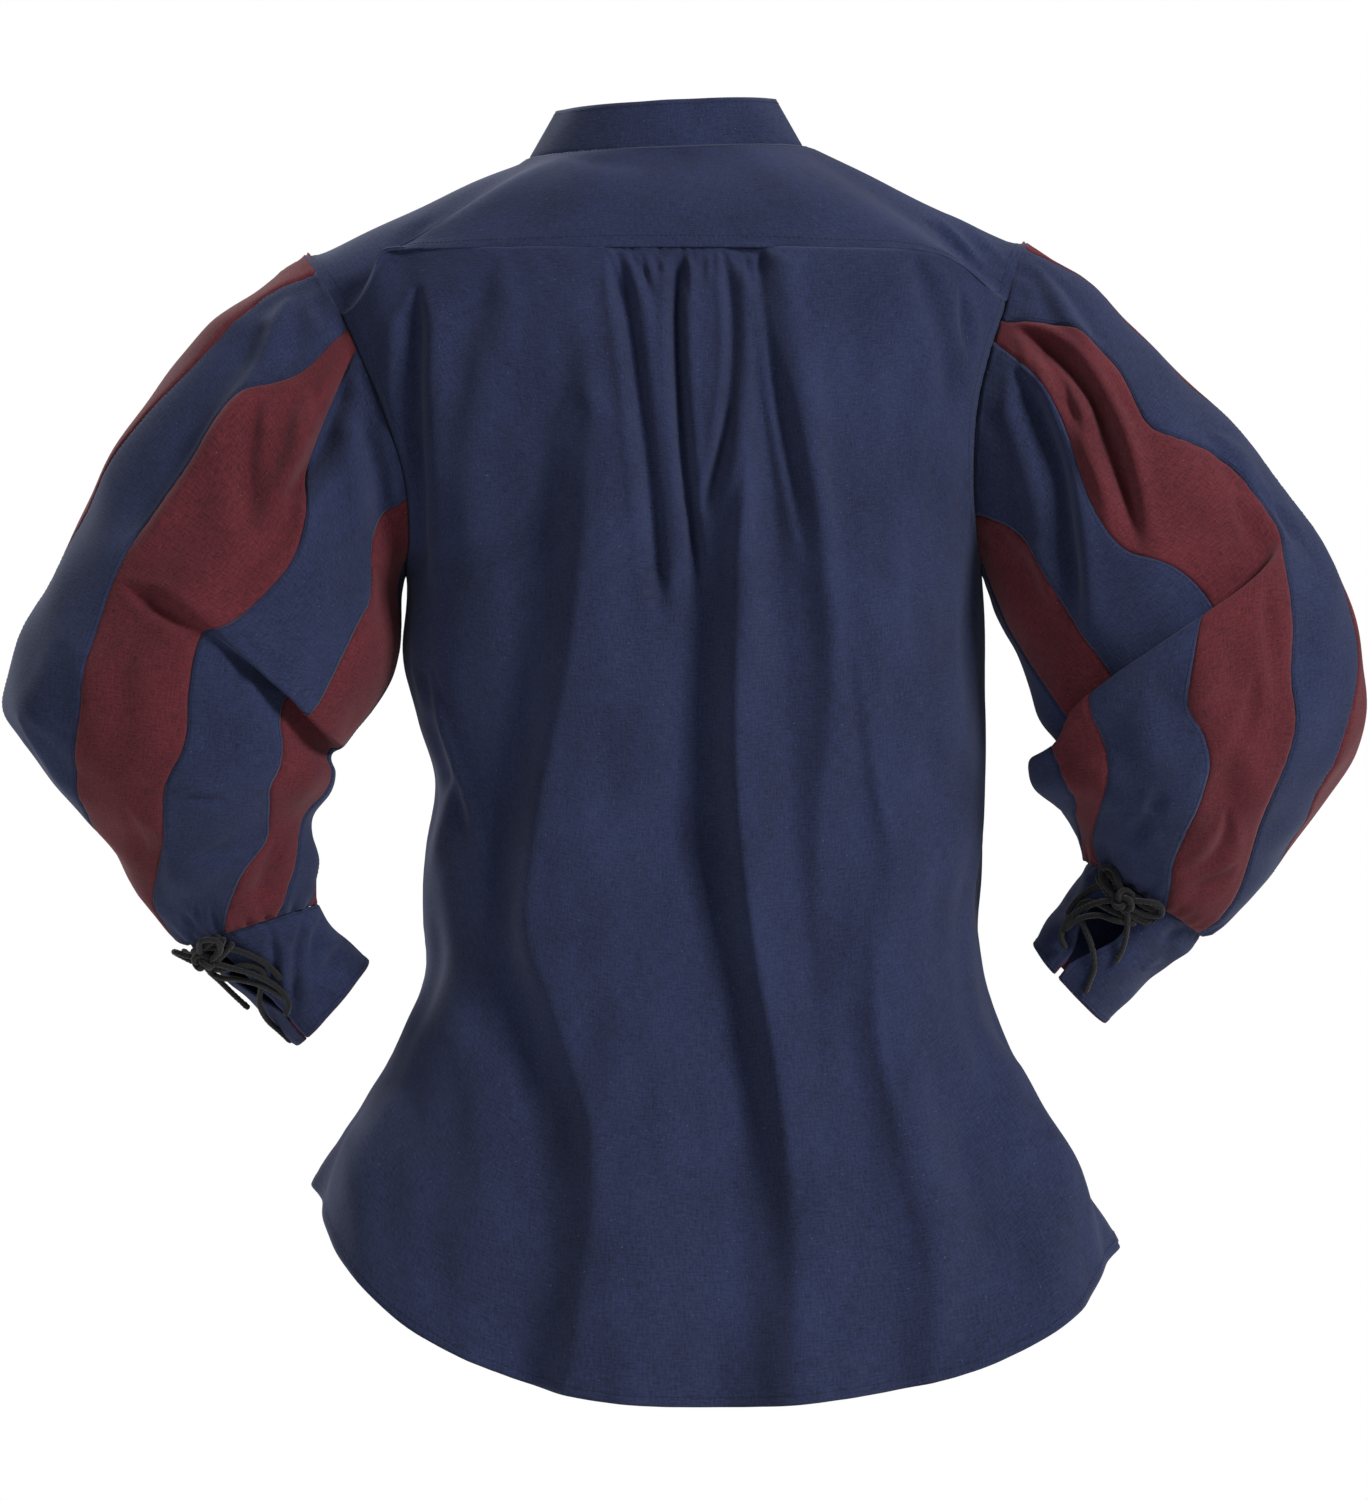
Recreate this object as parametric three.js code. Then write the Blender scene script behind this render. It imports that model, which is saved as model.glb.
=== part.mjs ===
// Landsknecht shirt: a wide pull-over shirt with a yoke and full striped sleeves, in its worn form
// with the sleeves bent and the cuffs at the waist.
// Millimetres, +Z up. The front faces -Y and the wearer's left is +X.
// The origin is the middle of the neck opening, level with the neck seam.
import * as THREE from 'three';

// Driving dimensions
const CLOTH = 1.6;             // thickness of a cloth wall
const SEAM_INSET = 0.28;       // each piece ends this far from a seam line
const BODY_EDGE_INSET = 0.3;   // the same for a body panel at its armhole and side seam
const ARMHOLE_GAP = 0.7;       // how far a sleeve starts outside the armhole line
const CENTRE_LINE = 4;         // X of the shirt's centre line in the tables, which goes to the origin
const LACE_DIAMETER = 3.8;
const LACE_CLEARANCE = 0.4;    // between a lace and the cuff under it
const SLIT_HALF_WIDTH = 2.5;   // front neck slit
const SLIT_LOW_Z = -235;       // lower end of the front neck slit
const COLLAR_HEIGHT = 30;
const SQUARENESS = 0.12;       // how far a torso section is from an ellipse

const NAVY = 0x2c385c;
const BURGUNDY = 0x50202a;
const BLACK = 0x15161a;

// Small helpers
const radians = (degrees) => degrees * Math.PI / 180;
const mix = (a, b, share) => a + (b - a) * share;
const clamp = (value, low, high) => Math.min(Math.max(value, low), high);
const smooth = (value) => {
  const t = clamp(value, 0, 1);
  return t * t * (3 - 2 * t);
};
const spaced = (count, from, to) => Array.from({ length: count + 1 }, (_, i) => mix(from, to, i / count));

function table(columns, rows) {
  const names = columns.split(' ');
  return rows.map((row) => Object.fromEntries(names.map((name, i) => [name, row[i]])));
}

// A smooth curve through one column of a table, at a place given in another column.
function follow(rows, column, key, place) {
  const rising = rows[rows.length - 1][key] > rows[0][key] ? 1 : -1;
  let i = 0;
  while (i < rows.length - 2 && rising * (place - rows[i + 1][key]) > 0) i += 1;
  const slopeAt = (k) => {
    const before = rows[Math.max(k - 1, 0)];
    const after = rows[Math.min(k + 1, rows.length - 1)];
    return (after[column] - before[column]) / (after[key] - before[key]);
  };
  const span = rows[i + 1][key] - rows[i][key];
  const t = clamp((place - rows[i][key]) / span, 0, 1);
  const rise = rows[i + 1][column] - rows[i][column];
  const startSlope = slopeAt(i) * span;
  const endSlope = slopeAt(i + 1) * span;
  return rows[i][column] + t * (startSlope + t * (3 * rise - 2 * startSlope - endSlope
    + t * (startSlope + endSlope - 2 * rise)));
}

// Torso sections. seam is where the body panel ends at the armhole or side seam, reach is how far
// the section runs, back and front are its depths from the middle plane.
const TORSO = table('z leftSeam rightSeam leftReach rightReach back front', [
  [-54, 246, -238, 246, -238, 90, 90],
  [-62, 246, -237, 246, -237, 94, 93],
  [-70, 245, -232, 245, -236, 98, 96],
  [-90, 231, -225, 243, -234, 106, 102],
  [-110, 219, -219, 238, -230, 112, 108],
  [-140, 205, -209, 229, -223, 119, 116],
  [-175, 190, -201, 216, -216, 124, 122],
  [-222, 175, -199, 201, -210, 127, 127],
  [-260, 173, -202, 185, -208, 126, 128],
  [-284, 177, -206, 177, -206, 125, 127],
  [-334, 178, -208, 178, -208, 121, 124],
  [-381, 169, -208, 169, -208, 115, 119],
  [-420, 158, -208, 158, -208, 110, 114],
  [-465, 164, -207, 164, -207, 107, 110],
  [-510, 166, -203, 166, -203, 108, 109],
  [-550, 165, -208, 165, -208, 112, 111],
  [-600, 185, -226, 185, -226, 119, 115],
  [-640, 206, -246, 206, -246, 126, 120],
  [-680, 236, -268, 236, -268, 133, 125],
  [-730, 252, -297, 252, -297, 140, 131],
  [-780, 262, -312, 262, -312, 146, 136],
  [-830, 268, -318, 268, -318, 150, 140],
]);
const ARMHOLE = {
  left: { top: -70, low: -284, backCorner: -114, frontCorner: -104, side: 1 },
  right: { top: -62, low: -284, backCorner: -104, frontCorner: -98, side: -1 },
};

// Lower edges by share of the way from the left side seam to the right one
const HEM = table('share back front', [
  [0, -689, -689],
  [0.1, -702, -697],
  [0.2, -735, -724],
  [0.3, -779, -758],
  [0.4, -811, -784],
  [0.5, -820, -792],
  [0.6, -813, -788],
  [0.7, -795, -776],
  [0.8, -764, -753],
  [0.9, -738, -734],
  [1, -729, -729],
]);

// Folds that run down the back: a line from its top to its low end with a sideways bow. A positive
// depth is a trough, a negative one is a ridge.
const BACK_FOLDS = table('topX topZ lowX lowZ bow wide deep', [
  [42, -73, 15, -228, 3, 5.0, 5.0],
  [35, -73, 22, -150, 0, 3.8, 3.0],
  [21, -73, 12, -135, 0, 4.0, 3.0],
  [10, -73, 4, -172, 0, 4.2, 3.6],
  [-7, -73, -13, -228, 2, 5.0, 5.0],
  [-20, -73, -24, -165, 0, 4.0, 3.2],
  [-33, -73, -39, -212, 2, 4.6, 4.4],
  [-48, -73, -58, -186, 0, 4.2, 3.2],
  [-58, -73, -86, -232, -4, 5.2, 5.0],
  [-12, -190, -76, -720, -2, 17, 10],
  [24, -210, 60, -560, 6, 20, -5],
  [71, -290, 99, -500, 4, 15, 5],
  [92, -455, 46, -690, -6, 15, -7],
  [128, -560, 118, -790, 8, 22, 6],
  [-88, -350, -97, -460, 0, 14, 4],
  [-116, -320, -141, -520, 6, 17, -7],
  [-141, -480, -172, -760, -12, 18, -8],
  [-100, -560, -122, -800, 4, 20, 5],
  [-205, -560, -232, -760, 4, 18, 6],
  [168, -108, 170, -225, 0, 8, 3.4],
  [172, -320, 130, -480, 4, 9, -3.6],
  [-178, -130, -168, -330, 0, 14, 3],
]);
const FRONT_FOLDS = table('topX topZ lowX lowZ bow wide deep', [
  [70, -120, 84, -420, 6, 16, 4],
  [-74, -120, -92, -430, -6, 16, 4],
  [0, -245, -16, -760, 4, 18, 7],
  [52, -300, 66, -740, -5, 20, -5],
  [-72, -320, -96, -750, 6, 20, -6],
  [120, -480, 140, -720, 4, 18, 5],
  [-150, -470, -182, -720, -4, 18, 5],
]);

// Neck ring
const NECK = { middle: 4, half: 91, back: 62, front: 70, frontDrop: 54, tilt: 4 };
const YOKE_SEAM_Z = -73;
const NECK_ANGLE = { backCorner: 22, frontCorner: 35 };  // where the yoke seams meet the neck, in degrees
const BULGE = { side: 3, back: 7, front: 11 };           // how far the shoulder surface stands off its chords

// Sleeve sections, from the shoulder to the cuff. A section is an oval from its outer point to its
// inner one, as seen from behind, mid and deep are its middle and half depth towards the back.
// a to e are the angles of the five seams at the back, in degrees from the outer point.
const RING_COLUMNS = 'outerX outerZ innerX innerZ mid deep a b c d e';
const SLEEVE_RINGS = {
  left: table(RING_COLUMNS, [
    [245, -70, 177, -284, 0, 72, 30, 60, 68, 124, 156],
    [273, -98, 180, -297, 3, 80, 23, 64, 84, 128, 166],
    [311, -134, 180, -318, 8, 90, 26, 54, 98, 140, 180],
    [346, -184, 181, -335, 15, 96, 20, 53, 103, 138, 180],
    [379, -241, 186, -354, 22, 99, 14, 50, 98, 137, 178],
    [404, -288, 197, -372, 30, 99, 8, 51, 88, 137, 177],
    [429, -331, 210, -390, 38, 96, 5, 58, 95, 129, 176],
    [440, -367, 220, -403, 42, 91, 0, 62, 100, 136, 175],
    [429, -392, 221, -415, 42, 88, -4, 54, 95, 134, 175],
    [410, -420, 226, -428, 39, 84, -10, 41, 85, 130, 172],
    [389, -446, 237, -443, 34, 76, -25, 23, 78, 134, 165],
    [377, -463, 239, -457, 29, 70, -40, 5, 71, 131, 158],
    [364, -489, 235, -473, 23, 62, -60, -15, 52, 109, 145],
    [350, -507, 236, -488, 17, 54, -75, -30, 31, 96, 135],
    [322, -530, 238, -503, 10, 44, -80, -35, 10, 72, 120],
  ]),
  right: table(RING_COLUMNS, [
    [-237, -62, -206, -284, 0, 74, 16, 60, 68, 131, 158],
    [-272, -84, -211, -296, 3, 80, 10, 50, 76, 127, 165],
    [-305, -114, -215, -309, 8, 90, 14, 49, 89, 126, 165],
    [-337, -149, -221, -322, 15, 96, 12, 57, 96, 128, 168],
    [-373, -191, -229, -337, 22, 99, 8, 42, 96, 131, 168],
    [-405, -236, -237, -360, 30, 99, 5, 37, 78, 127, 160],
    [-434, -285, -242, -380, 38, 96, 10, 50, 84, 127, 155],
    [-451, -331, -245, -397, 42, 92, 18, 60, 99, 133, 160],
    [-457, -367, -245, -411, 42, 89, 28, 61, 95, 131, 154],
    [-450, -400, -246, -424, 40, 86, 34, 61, 91, 130, 150],
    [-431, -433, -253, -437, 35, 80, 30, 61, 91, 136, 152],
    [-409, -466, -263, -448, 29, 72, 10, 53, 93, 146, 165],
    [-386, -496, -270, -460, 22, 62, -10, 42, 92, 155, 175],
    [-352, -524, -276, -474, 14, 46, -25, 30, 76, 143, 175],
  ]),
};
// The three seams at the front share what is left of the way round from seam e to seam a.
const FRONT_SEAM_SHARES = { armhole: [0.3, 0.42, 0.76], sleeve: [0.25, 0.5, 0.75] };

// Sleeve folds, as lines from one place to another: ring number and angle, with width and depth in mm
const SLEEVE_FOLDS = {
  left: table('ring angle toRing toAngle wide deep', [
    [1.2, 40, 4.6, 34, 13, -5],
    [1.0, 76, 4.4, 82, 12, 6],
    [3.6, 92, 5.6, 84, 11, 6],
    [2.4, 118, 5.2, 122, 14, 6],
    [5.3, 62, 6.6, 128, 10, 6],
    [6.4, 112, 7.4, 178, 9, 9],
    [6.0, 140, 6.6, 190, 12, -6],
    [8.8, 112, 12.2, 78, 10, 6],
    [9.2, 60, 12.8, 30, 10, 5],
    [7.6, 30, 11.0, 10, 12, 5],
    [2.5, 300, 6.2, 290, 14, 7],
    [2.0, 240, 5.6, 232, 14, 6],
    [6.6, 200, 7.2, 268, 11, 8],
    [8.4, 310, 12.4, 290, 12, 6],
    [9.0, 240, 12.4, 222, 11, 5],
  ]),
  right: table('ring angle toRing toAngle wide deep', [
    [1.2, 30, 4.4, 24, 13, -5],
    [1.2, 62, 5.2, 72, 13, 9],
    [5.4, 44, 7.2, 62, 12, 8],
    [1.6, 104, 4.8, 100, 13, 6],
    [3.0, 132, 5.6, 130, 12, 5],
    [6.4, 60, 7.8, 176, 10, 10],
    [5.6, 96, 6.8, 182, 13, -7],
    [8.4, 44, 11.4, 38, 10, 5],
    [8.8, 96, 11.6, 70, 10, 5],
    [7.6, 18, 9.8, 26, 11, 5],
    [2.5, 300, 6.2, 290, 14, 7],
    [2.0, 240, 5.6, 232, 14, 6],
    [6.8, 200, 7.4, 268, 11, 8],
    [8.2, 310, 11.6, 290, 12, 6],
    [8.8, 240, 11.6, 222, 11, 5],
  ]),
};
const RING_STEP = 34;      // mm along the sleeve for one ring, used to measure folds
const DEGREE_STEP = 1.6;   // mm round the sleeve for one degree, used to measure folds
const GATHER = { waves: 2, deep: 2.6, steepest: 0.06, armholeReach: 1.5, cuffReach: 1.6 };
// waves of the cloth in a panel, their depth in mm and as a share of the panel's width, rings they run

// Cuffs run on from the last ring to the wrist. slit is the angle of the laced opening.
const CUFFS = {
  left: { outerX: 250, outerZ: -595, innerX: 203, innerZ: -541, mid: -6, deep: 33, slit: 42 },
  right: { outerX: -288, outerZ: -580, innerX: -240, innerZ: -528, mid: 4, deep: 33, slit: 108 },
};
// Half width of the opening along the cuff, from its top (0) to the wrist (1)
const CUFF_OPENING = table('share half', [
  [0, 3.5], [0.2, 9.5], [0.42, 12.5], [0.62, 8], [0.8, 2.4], [1, 2.0],
]);
// Lace route over the opening: mm across it, share along the cuff, and mm lifted off the cloth
const LACE_ROUTE = table('across along lift', [
  [-21, 0.97, 0.2],
  [-18, 0.86, 0.4],
  [-14, 0.74, 1.0],
  [-4, 0.62, 1.0],
  [8, 0.53, 0.6],
  [17.5, 0.46, 0.3],
  [19.5, 0.37, 0.3],
  [14, 0.30, 0.8],
  [0, 0.26, 1.4],
  [-13, 0.21, 0.8],
  [-17.5, 0.13, 0.3],
  [-13.5, 0.05, 0.6],
  [-4, 0.03, 1.2],
  [8, 0.06, 0.8],
  [17, 0.12, 0.3],
  [23, 0.24, 0.2],
  [25, 0.40, 0.2],
  [23, 0.56, 0.2],
]);
const LACE_STEPS = 46;
const LACE_SIDES = 8;
const KNOT = { across: -2, along: 0.1, lift: 5.4, radius: 4.6, steps: 26, sides: 7 };

// Cloth walls

// A closed wall between a grid of outer points and the same points moved in along their normals.
// keep says which cells are cloth.
function wall(points, normals, keep = () => true) {
  const rows = points.length;
  const columns = points[0].length;
  const position = [];
  for (const depth of [0, CLOTH]) {
    for (let i = 0; i < rows; i += 1) {
      for (let j = 0; j < columns; j += 1) {
        position.push(...points[i][j].clone().addScaledVector(normals[i][j], -depth).toArray());
      }
    }
  }
  const inner = rows * columns;
  const at = (i, j) => i * columns + j;
  const kept = (i, j) => i >= 0 && j >= 0 && i < rows - 1 && j < columns - 1 && keep(i, j);
  const facing = new THREE.Vector3();
  let outward = 0;
  for (let i = 0; i < rows - 1; i += 1) {
    for (let j = 0; j < columns - 1; j += 1) {
      const down = points[i + 1][j].clone().sub(points[i][j]);
      const along = points[i][j + 1].clone().sub(points[i][j]);
      outward += facing.crossVectors(down, along).normalize().dot(normals[i][j]);
    }
  }
  const index = [];
  const quad = (a, b, c, d) => {
    const corners = outward > 0 ? [a, b, c, a, c, d] : [a, c, b, a, d, c];
    index.push(...corners);
  };
  for (let i = 0; i < rows - 1; i += 1) {
    for (let j = 0; j < columns - 1; j += 1) {
      if (!kept(i, j)) continue;
      const corner = [at(i, j), at(i + 1, j), at(i + 1, j + 1), at(i, j + 1)];
      quad(corner[0], corner[1], corner[2], corner[3]);
      quad(corner[0] + inner, corner[3] + inner, corner[2] + inner, corner[1] + inner);
      const rims = [[i, j - 1, 0, 1], [i + 1, j, 1, 2], [i, j + 1, 2, 3], [i - 1, j, 3, 0]];
      for (const [nextI, nextJ, from, to] of rims) {
        if (kept(nextI, nextJ)) continue;
        quad(corner[from], corner[from] + inner, corner[to] + inner, corner[to]);
      }
    }
  }
  const geometry = new THREE.BufferGeometry();
  const used = [...new Set(index)];
  const renumber = new Map(used.map((vertex, i) => [vertex, i]));
  const compact = used.flatMap((vertex) => position.slice(vertex * 3, vertex * 3 + 3));
  geometry.setAttribute('position', new THREE.Float32BufferAttribute(compact, 3));
  geometry.setIndex(index.map((vertex) => renumber.get(vertex)));
  geometry.computeVertexNormals();
  return geometry;
}

// Moves one edge of a grid in from its seam, square to it. next holds the neighbours inside the piece.
function insetEdge(edge, next, distance) {
  if (distance === 0) return;
  const moves = edge.map((point, i) => {
    const before = edge[Math.max(i - 1, 0)];
    const after = edge[Math.min(i + 1, edge.length - 1)];
    const along = after.clone().sub(before).normalize();
    const inwards = next[i].clone().sub(point);
    return inwards.addScaledVector(along, -inwards.dot(along)).normalize();
  });
  edge.forEach((point, i) => point.addScaledVector(moves[i], distance));
}

// first and last are the insets of the first and last row, start and end those of the columns.
function inset(points, { first = 0, last = 0, start = 0, end = 0 }) {
  const rows = points.length - 1;
  const columns = points[0].length - 1;
  const column = (j) => points.map((row) => row[j]);
  insetEdge(points[0], points[1], first);
  insetEdge(points[rows], points[rows - 1], last);
  insetEdge(column(0), column(1), start);
  insetEdge(column(columns), column(columns - 1), end);
}

// The unit normal of a surface given as a function of two numbers, on the side of a hint.
function normalOf(surface, u, v, stepU, stepV, hint) {
  const alongU = surface(u + stepU, v).sub(surface(u - stepU, v));
  const alongV = surface(u, v + stepV).sub(surface(u, v - stepV));
  const normal = alongU.cross(alongV).normalize();
  return normal.dot(hint) < 0 ? normal.negate() : normal;
}

// Torso

function torsoPoint(angle, z) {
  const row = Object.fromEntries(['leftReach', 'rightReach', 'back', 'front']
    .map((column) => [column, follow(TORSO, column, 'z', z)]));
  const c = Math.cos(radians(angle));
  const s = Math.sin(radians(angle));
  const depth = s >= 0 ? row.back : row.front;
  const x = mix(row.rightReach, row.leftReach, 0.5)
    + 0.5 * (row.leftReach - row.rightReach) * c * (1 + SQUARENESS * s * s);
  return new THREE.Vector3(x, depth * s * (1 + SQUARENESS * c * c), z);
}

const torsoAxis = (z) => new THREE.Vector3(
  0.5 * (follow(TORSO, 'leftReach', 'z', z) + follow(TORSO, 'rightReach', 'z', z)), 0, z);

function torsoNormal(angle, z) {
  const hint = torsoPoint(angle, z).sub(torsoAxis(z));
  return normalOf(torsoPoint, angle, z, 0.5, 1, hint);
}

// The angle of a body panel's edge, measured from its own side of the section.
function edgeAngle(side, z) {
  const { top, low } = ARMHOLE[side];
  if (z >= top || z <= low) return 0;
  const left = follow(TORSO, 'leftReach', 'z', z);
  const right = follow(TORSO, 'rightReach', 'z', z);
  const seam = follow(TORSO, `${side}Seam`, 'z', z);
  const ratio = Math.abs(seam - 0.5 * (left + right)) / (0.5 * (left - right));
  let c = Math.min(ratio, 1);
  for (let i = 0; i < 12; i += 1) c = Math.min(ratio / (1 + SQUARENESS * (1 - c * c)), 1);
  return Math.acos(c) * 180 / Math.PI;
}

// The angle on the whole section at a share of the way from the left edge to the right one.
function panelAngle(share, z) {
  const left = edgeAngle('left', z);
  const right = edgeAngle('right', z);
  return left + (180 - left - right) * share;
}

// Depth of all the folds of a table at a place: each is a soft trough along its own line.
function foldDepth(folds, x, z) {
  let depth = 0;
  for (const fold of folds) {
    const t = (fold.topZ - z) / (fold.topZ - fold.lowZ);
    if (t <= 0 || t >= 1) continue;
    const line = mix(fold.topX, fold.lowX, t) + fold.bow * Math.sin(Math.PI * t);
    const fade = smooth(t * 6) * smooth((1 - t) * 2.2);
    depth += fold.deep * fade * Math.exp(-(((x - line) / fold.wide) ** 2));
  }
  return depth;
}

const yokeSeamZ = (share) => {
  const corner = share < 0.5 ? ARMHOLE.left.backCorner : ARMHOLE.right.backCorner;
  return mix(YOKE_SEAM_Z, corner, smooth((Math.abs(2 * share - 1) - 0.5) / 0.5));
};

// Shoulder surface: chords from the neck ring to the yoke seam, armholes and upper chest

function neckPoint(angle) {
  const c = Math.cos(radians(angle));
  const s = Math.sin(radians(angle));
  const y = (s > 0 ? NECK.back : NECK.front) * s;
  const drop = s > 0 ? 3 * s : NECK.frontDrop * s * s;
  return new THREE.Vector3(NECK.middle + NECK.half * c, y, -1 - NECK.tilt * c - drop);
}

const frontBaseZ = (share) => mix(ARMHOLE.left.frontCorner, ARMHOLE.right.frontCorner, share)
  - 48 * Math.sin(Math.PI * share);

// Angle and height on the torso where the chord from a neck angle ends. Neck angles run from 0 at
// the left over 90 at the back to 180 at the right, and on round the front.
function chordEnd(neckAngle) {
  const angle = ((neckAngle + NECK_ANGLE.frontCorner + 360) % 360) - NECK_ANGLE.frontCorner;
  const { backCorner, frontCorner } = NECK_ANGLE;
  if (angle <= 0) {
    const z = mix(ARMHOLE.left.top, ARMHOLE.left.frontCorner, -angle / frontCorner);
    return { angle: -edgeAngle('left', z), z };
  }
  if (angle < backCorner) {
    const z = mix(ARMHOLE.left.top, ARMHOLE.left.backCorner, angle / backCorner);
    return { angle: edgeAngle('left', z), z };
  }
  if (angle <= 180 - backCorner) {
    const share = (angle - backCorner) / (180 - 2 * backCorner);
    const z = yokeSeamZ(share);
    return { angle: panelAngle(share, z), z };
  }
  if (angle < 180) {
    const z = mix(ARMHOLE.right.top, ARMHOLE.right.backCorner, (180 - angle) / backCorner);
    return { angle: 180 - edgeAngle('right', z), z };
  }
  if (angle <= 180 + frontCorner) {
    const z = mix(ARMHOLE.right.top, ARMHOLE.right.frontCorner, (angle - 180) / frontCorner);
    return { angle: 180 + edgeAngle('right', z), z };
  }
  const share = (360 - frontCorner - angle) / (180 - 2 * frontCorner);
  const z = frontBaseZ(share);
  return { angle: -panelAngle(share, z), z };
}

function shoulderPoint(neckAngle, t) {
  const neck = neckPoint(neckAngle);
  const end = chordEnd(neckAngle);
  const chord = torsoPoint(end.angle, end.z).sub(neck);
  const flat = Math.hypot(chord.x, chord.y);
  const out = new THREE.Vector3(chord.x, chord.y, 0).multiplyScalar(-chord.z / flat);
  out.z = flat;
  out.normalize();
  const s = Math.sin(radians(neckAngle));
  const bulge = mix(BULGE.side, s > 0 ? BULGE.back : BULGE.front, s * s);
  return neck.addScaledVector(chord, t).addScaledVector(out, bulge * Math.sin(Math.PI * clamp(t, 0, 1)));
}

function shoulderNormal(neckAngle, t) {
  return normalOf(shoulderPoint, neckAngle, clamp(t, 0.02, 0.98), 0.6, 0.02, new THREE.Vector3(0, 0, 1));
}

// Body pieces

const BACK_SHARES = [...spaced(8, 0, 0.35), ...spaced(15, 0.37, 0.65), ...spaced(7, 0.69, 1)];
const BACK_ROWS = [...spaced(12, 0, 0.31), ...spaced(11, 0.36, 1)];

function backPanel() {
  const points = [];
  const normals = [];
  for (const v of BACK_ROWS) {
    const pointRow = [];
    const normalRow = [];
    for (const share of BACK_SHARES) {
      const z = mix(yokeSeamZ(share), follow(HEM, 'back', 'share', share), v);
      const angle = panelAngle(share, z);
      const normal = torsoNormal(angle, z);
      const point = torsoPoint(angle, z);
      const edge = Math.min(share, 1 - share);
      const depth = foldDepth(BACK_FOLDS, point.x, z) * smooth(edge / 0.06);
      pointRow.push(point.addScaledVector(normal, -depth));
      normalRow.push(normal);
    }
    points.push(pointRow);
    normals.push(normalRow);
  }
  inset(points, { first: SEAM_INSET, start: BODY_EDGE_INSET, end: BODY_EDGE_INSET });
  return wall(points, normals);
}

function frontPanel() {
  const beside = 0.012;
  const shares = [...spaced(9, 0, 0.44), 0.5 - beside, 0.5 + beside, ...spaced(9, 0.56, 1)];
  const slitColumn = shares.indexOf(0.5 - beside);
  const points = [];
  const normals = [];
  const neckRows = spaced(5, 0, 1).slice(0, -1);
  const bodyRows = [...spaced(10, 0, 0.31), ...spaced(8, 0.38, 1)];
  for (const t of neckRows) {
    const neckAngles = shares.map((share) => (
      mix(-NECK_ANGLE.frontCorner, NECK_ANGLE.frontCorner - 180, share)));
    points.push(neckAngles.map((angle) => shoulderPoint(angle, t)));
    normals.push(neckAngles.map((angle) => shoulderNormal(angle, t)));
  }
  for (const v of bodyRows) {
    const pointRow = [];
    const normalRow = [];
    for (const share of shares) {
      const z = mix(frontBaseZ(share), follow(HEM, 'front', 'share', share), v);
      const angle = -panelAngle(share, z);
      const normal = torsoNormal(angle, z);
      const point = torsoPoint(angle, z);
      const edge = Math.min(share, 1 - share);
      const depth = foldDepth(FRONT_FOLDS, point.x, z) * smooth(edge / 0.06);
      pointRow.push(point.addScaledVector(normal, -depth));
      normalRow.push(normal);
    }
    points.push(pointRow);
    normals.push(normalRow);
  }
  for (const row of points) {
    row[slitColumn].x = NECK.middle + SLIT_HALF_WIDTH;
    row[slitColumn + 1].x = NECK.middle - SLIT_HALF_WIDTH;
  }
  inset(points, { start: BODY_EDGE_INSET, end: BODY_EDGE_INSET });
  const slitEnd = points.findIndex((row) => row[slitColumn].z < SLIT_LOW_Z);
  return wall(points, normals, (i, j) => j !== slitColumn || i >= slitEnd);
}

function yoke() {
  const { backCorner, frontCorner } = NECK_ANGLE;
  const backAngles = BACK_SHARES.map((share) => mix(backCorner, 180 - backCorner, share));
  const angles = [
    ...spaced(4, -frontCorner, 0), ...spaced(3, 0, backCorner).slice(1, -1),
    ...backAngles,
    ...spaced(3, 180 - backCorner, 180).slice(1), ...spaced(4, 180, 180 + frontCorner).slice(1),
  ];
  const rows = spaced(5, 0, 1);
  const points = rows.map((t) => angles.map((angle) => shoulderPoint(angle, t)));
  const normals = rows.map((t) => angles.map((angle) => {
    if (t < 1 || angle < backCorner || angle > 180 - backCorner) return shoulderNormal(angle, t);
    const end = chordEnd(angle);
    return torsoNormal(end.angle, end.z);
  }));
  inset(points, { last: SEAM_INSET, start: BODY_EDGE_INSET, end: BODY_EDGE_INSET });
  return wall(points, normals);
}

function collar() {
  const angles = spaced(28, -90 + 3, 270 - 3);
  const points = [];
  const normals = [];
  for (const t of [0, 0.5, 1]) {
    const ring = (angle) => {
      const base = neckPoint(angle);
      const s = Math.sin(radians(angle));
      const lean = mix(1, 0.8, t);
      const upright = new THREE.Vector3(
        NECK.middle + (base.x - NECK.middle) * lean, base.y * mix(1, 0.93, t), base.z);
      upright.z += 0.4 + COLLAR_HEIGHT * t;
      upright.y += (s < 0 ? 6 : 0) * t;
      return upright;
    };
    points.push(angles.map(ring));
    normals.push(angles.map((angle) => {
      const along = ring(angle + 1).sub(ring(angle - 1));
      return new THREE.Vector3(along.y, -along.x, 0).normalize();
    }));
  }
  return wall(points, normals);
}

// Sleeves

// The armhole line: angle 0 is its top, 90 its back, 180 its lowest point.
function armholeEnd(side, angle) {
  const { top, low, side: sign } = ARMHOLE[side];
  const z = 0.5 * (top + low) + 0.5 * (top - low) * Math.cos(radians(angle));
  const back = Math.sin(radians(angle)) >= 0 ? 1 : -1;
  const edge = edgeAngle(side, z) * back;
  return { z, angle: sign > 0 ? edge : 180 - edge };
}

const armholePoint = (side, angle) => {
  const end = armholeEnd(side, angle);
  return torsoPoint(end.angle, end.z);
};

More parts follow.
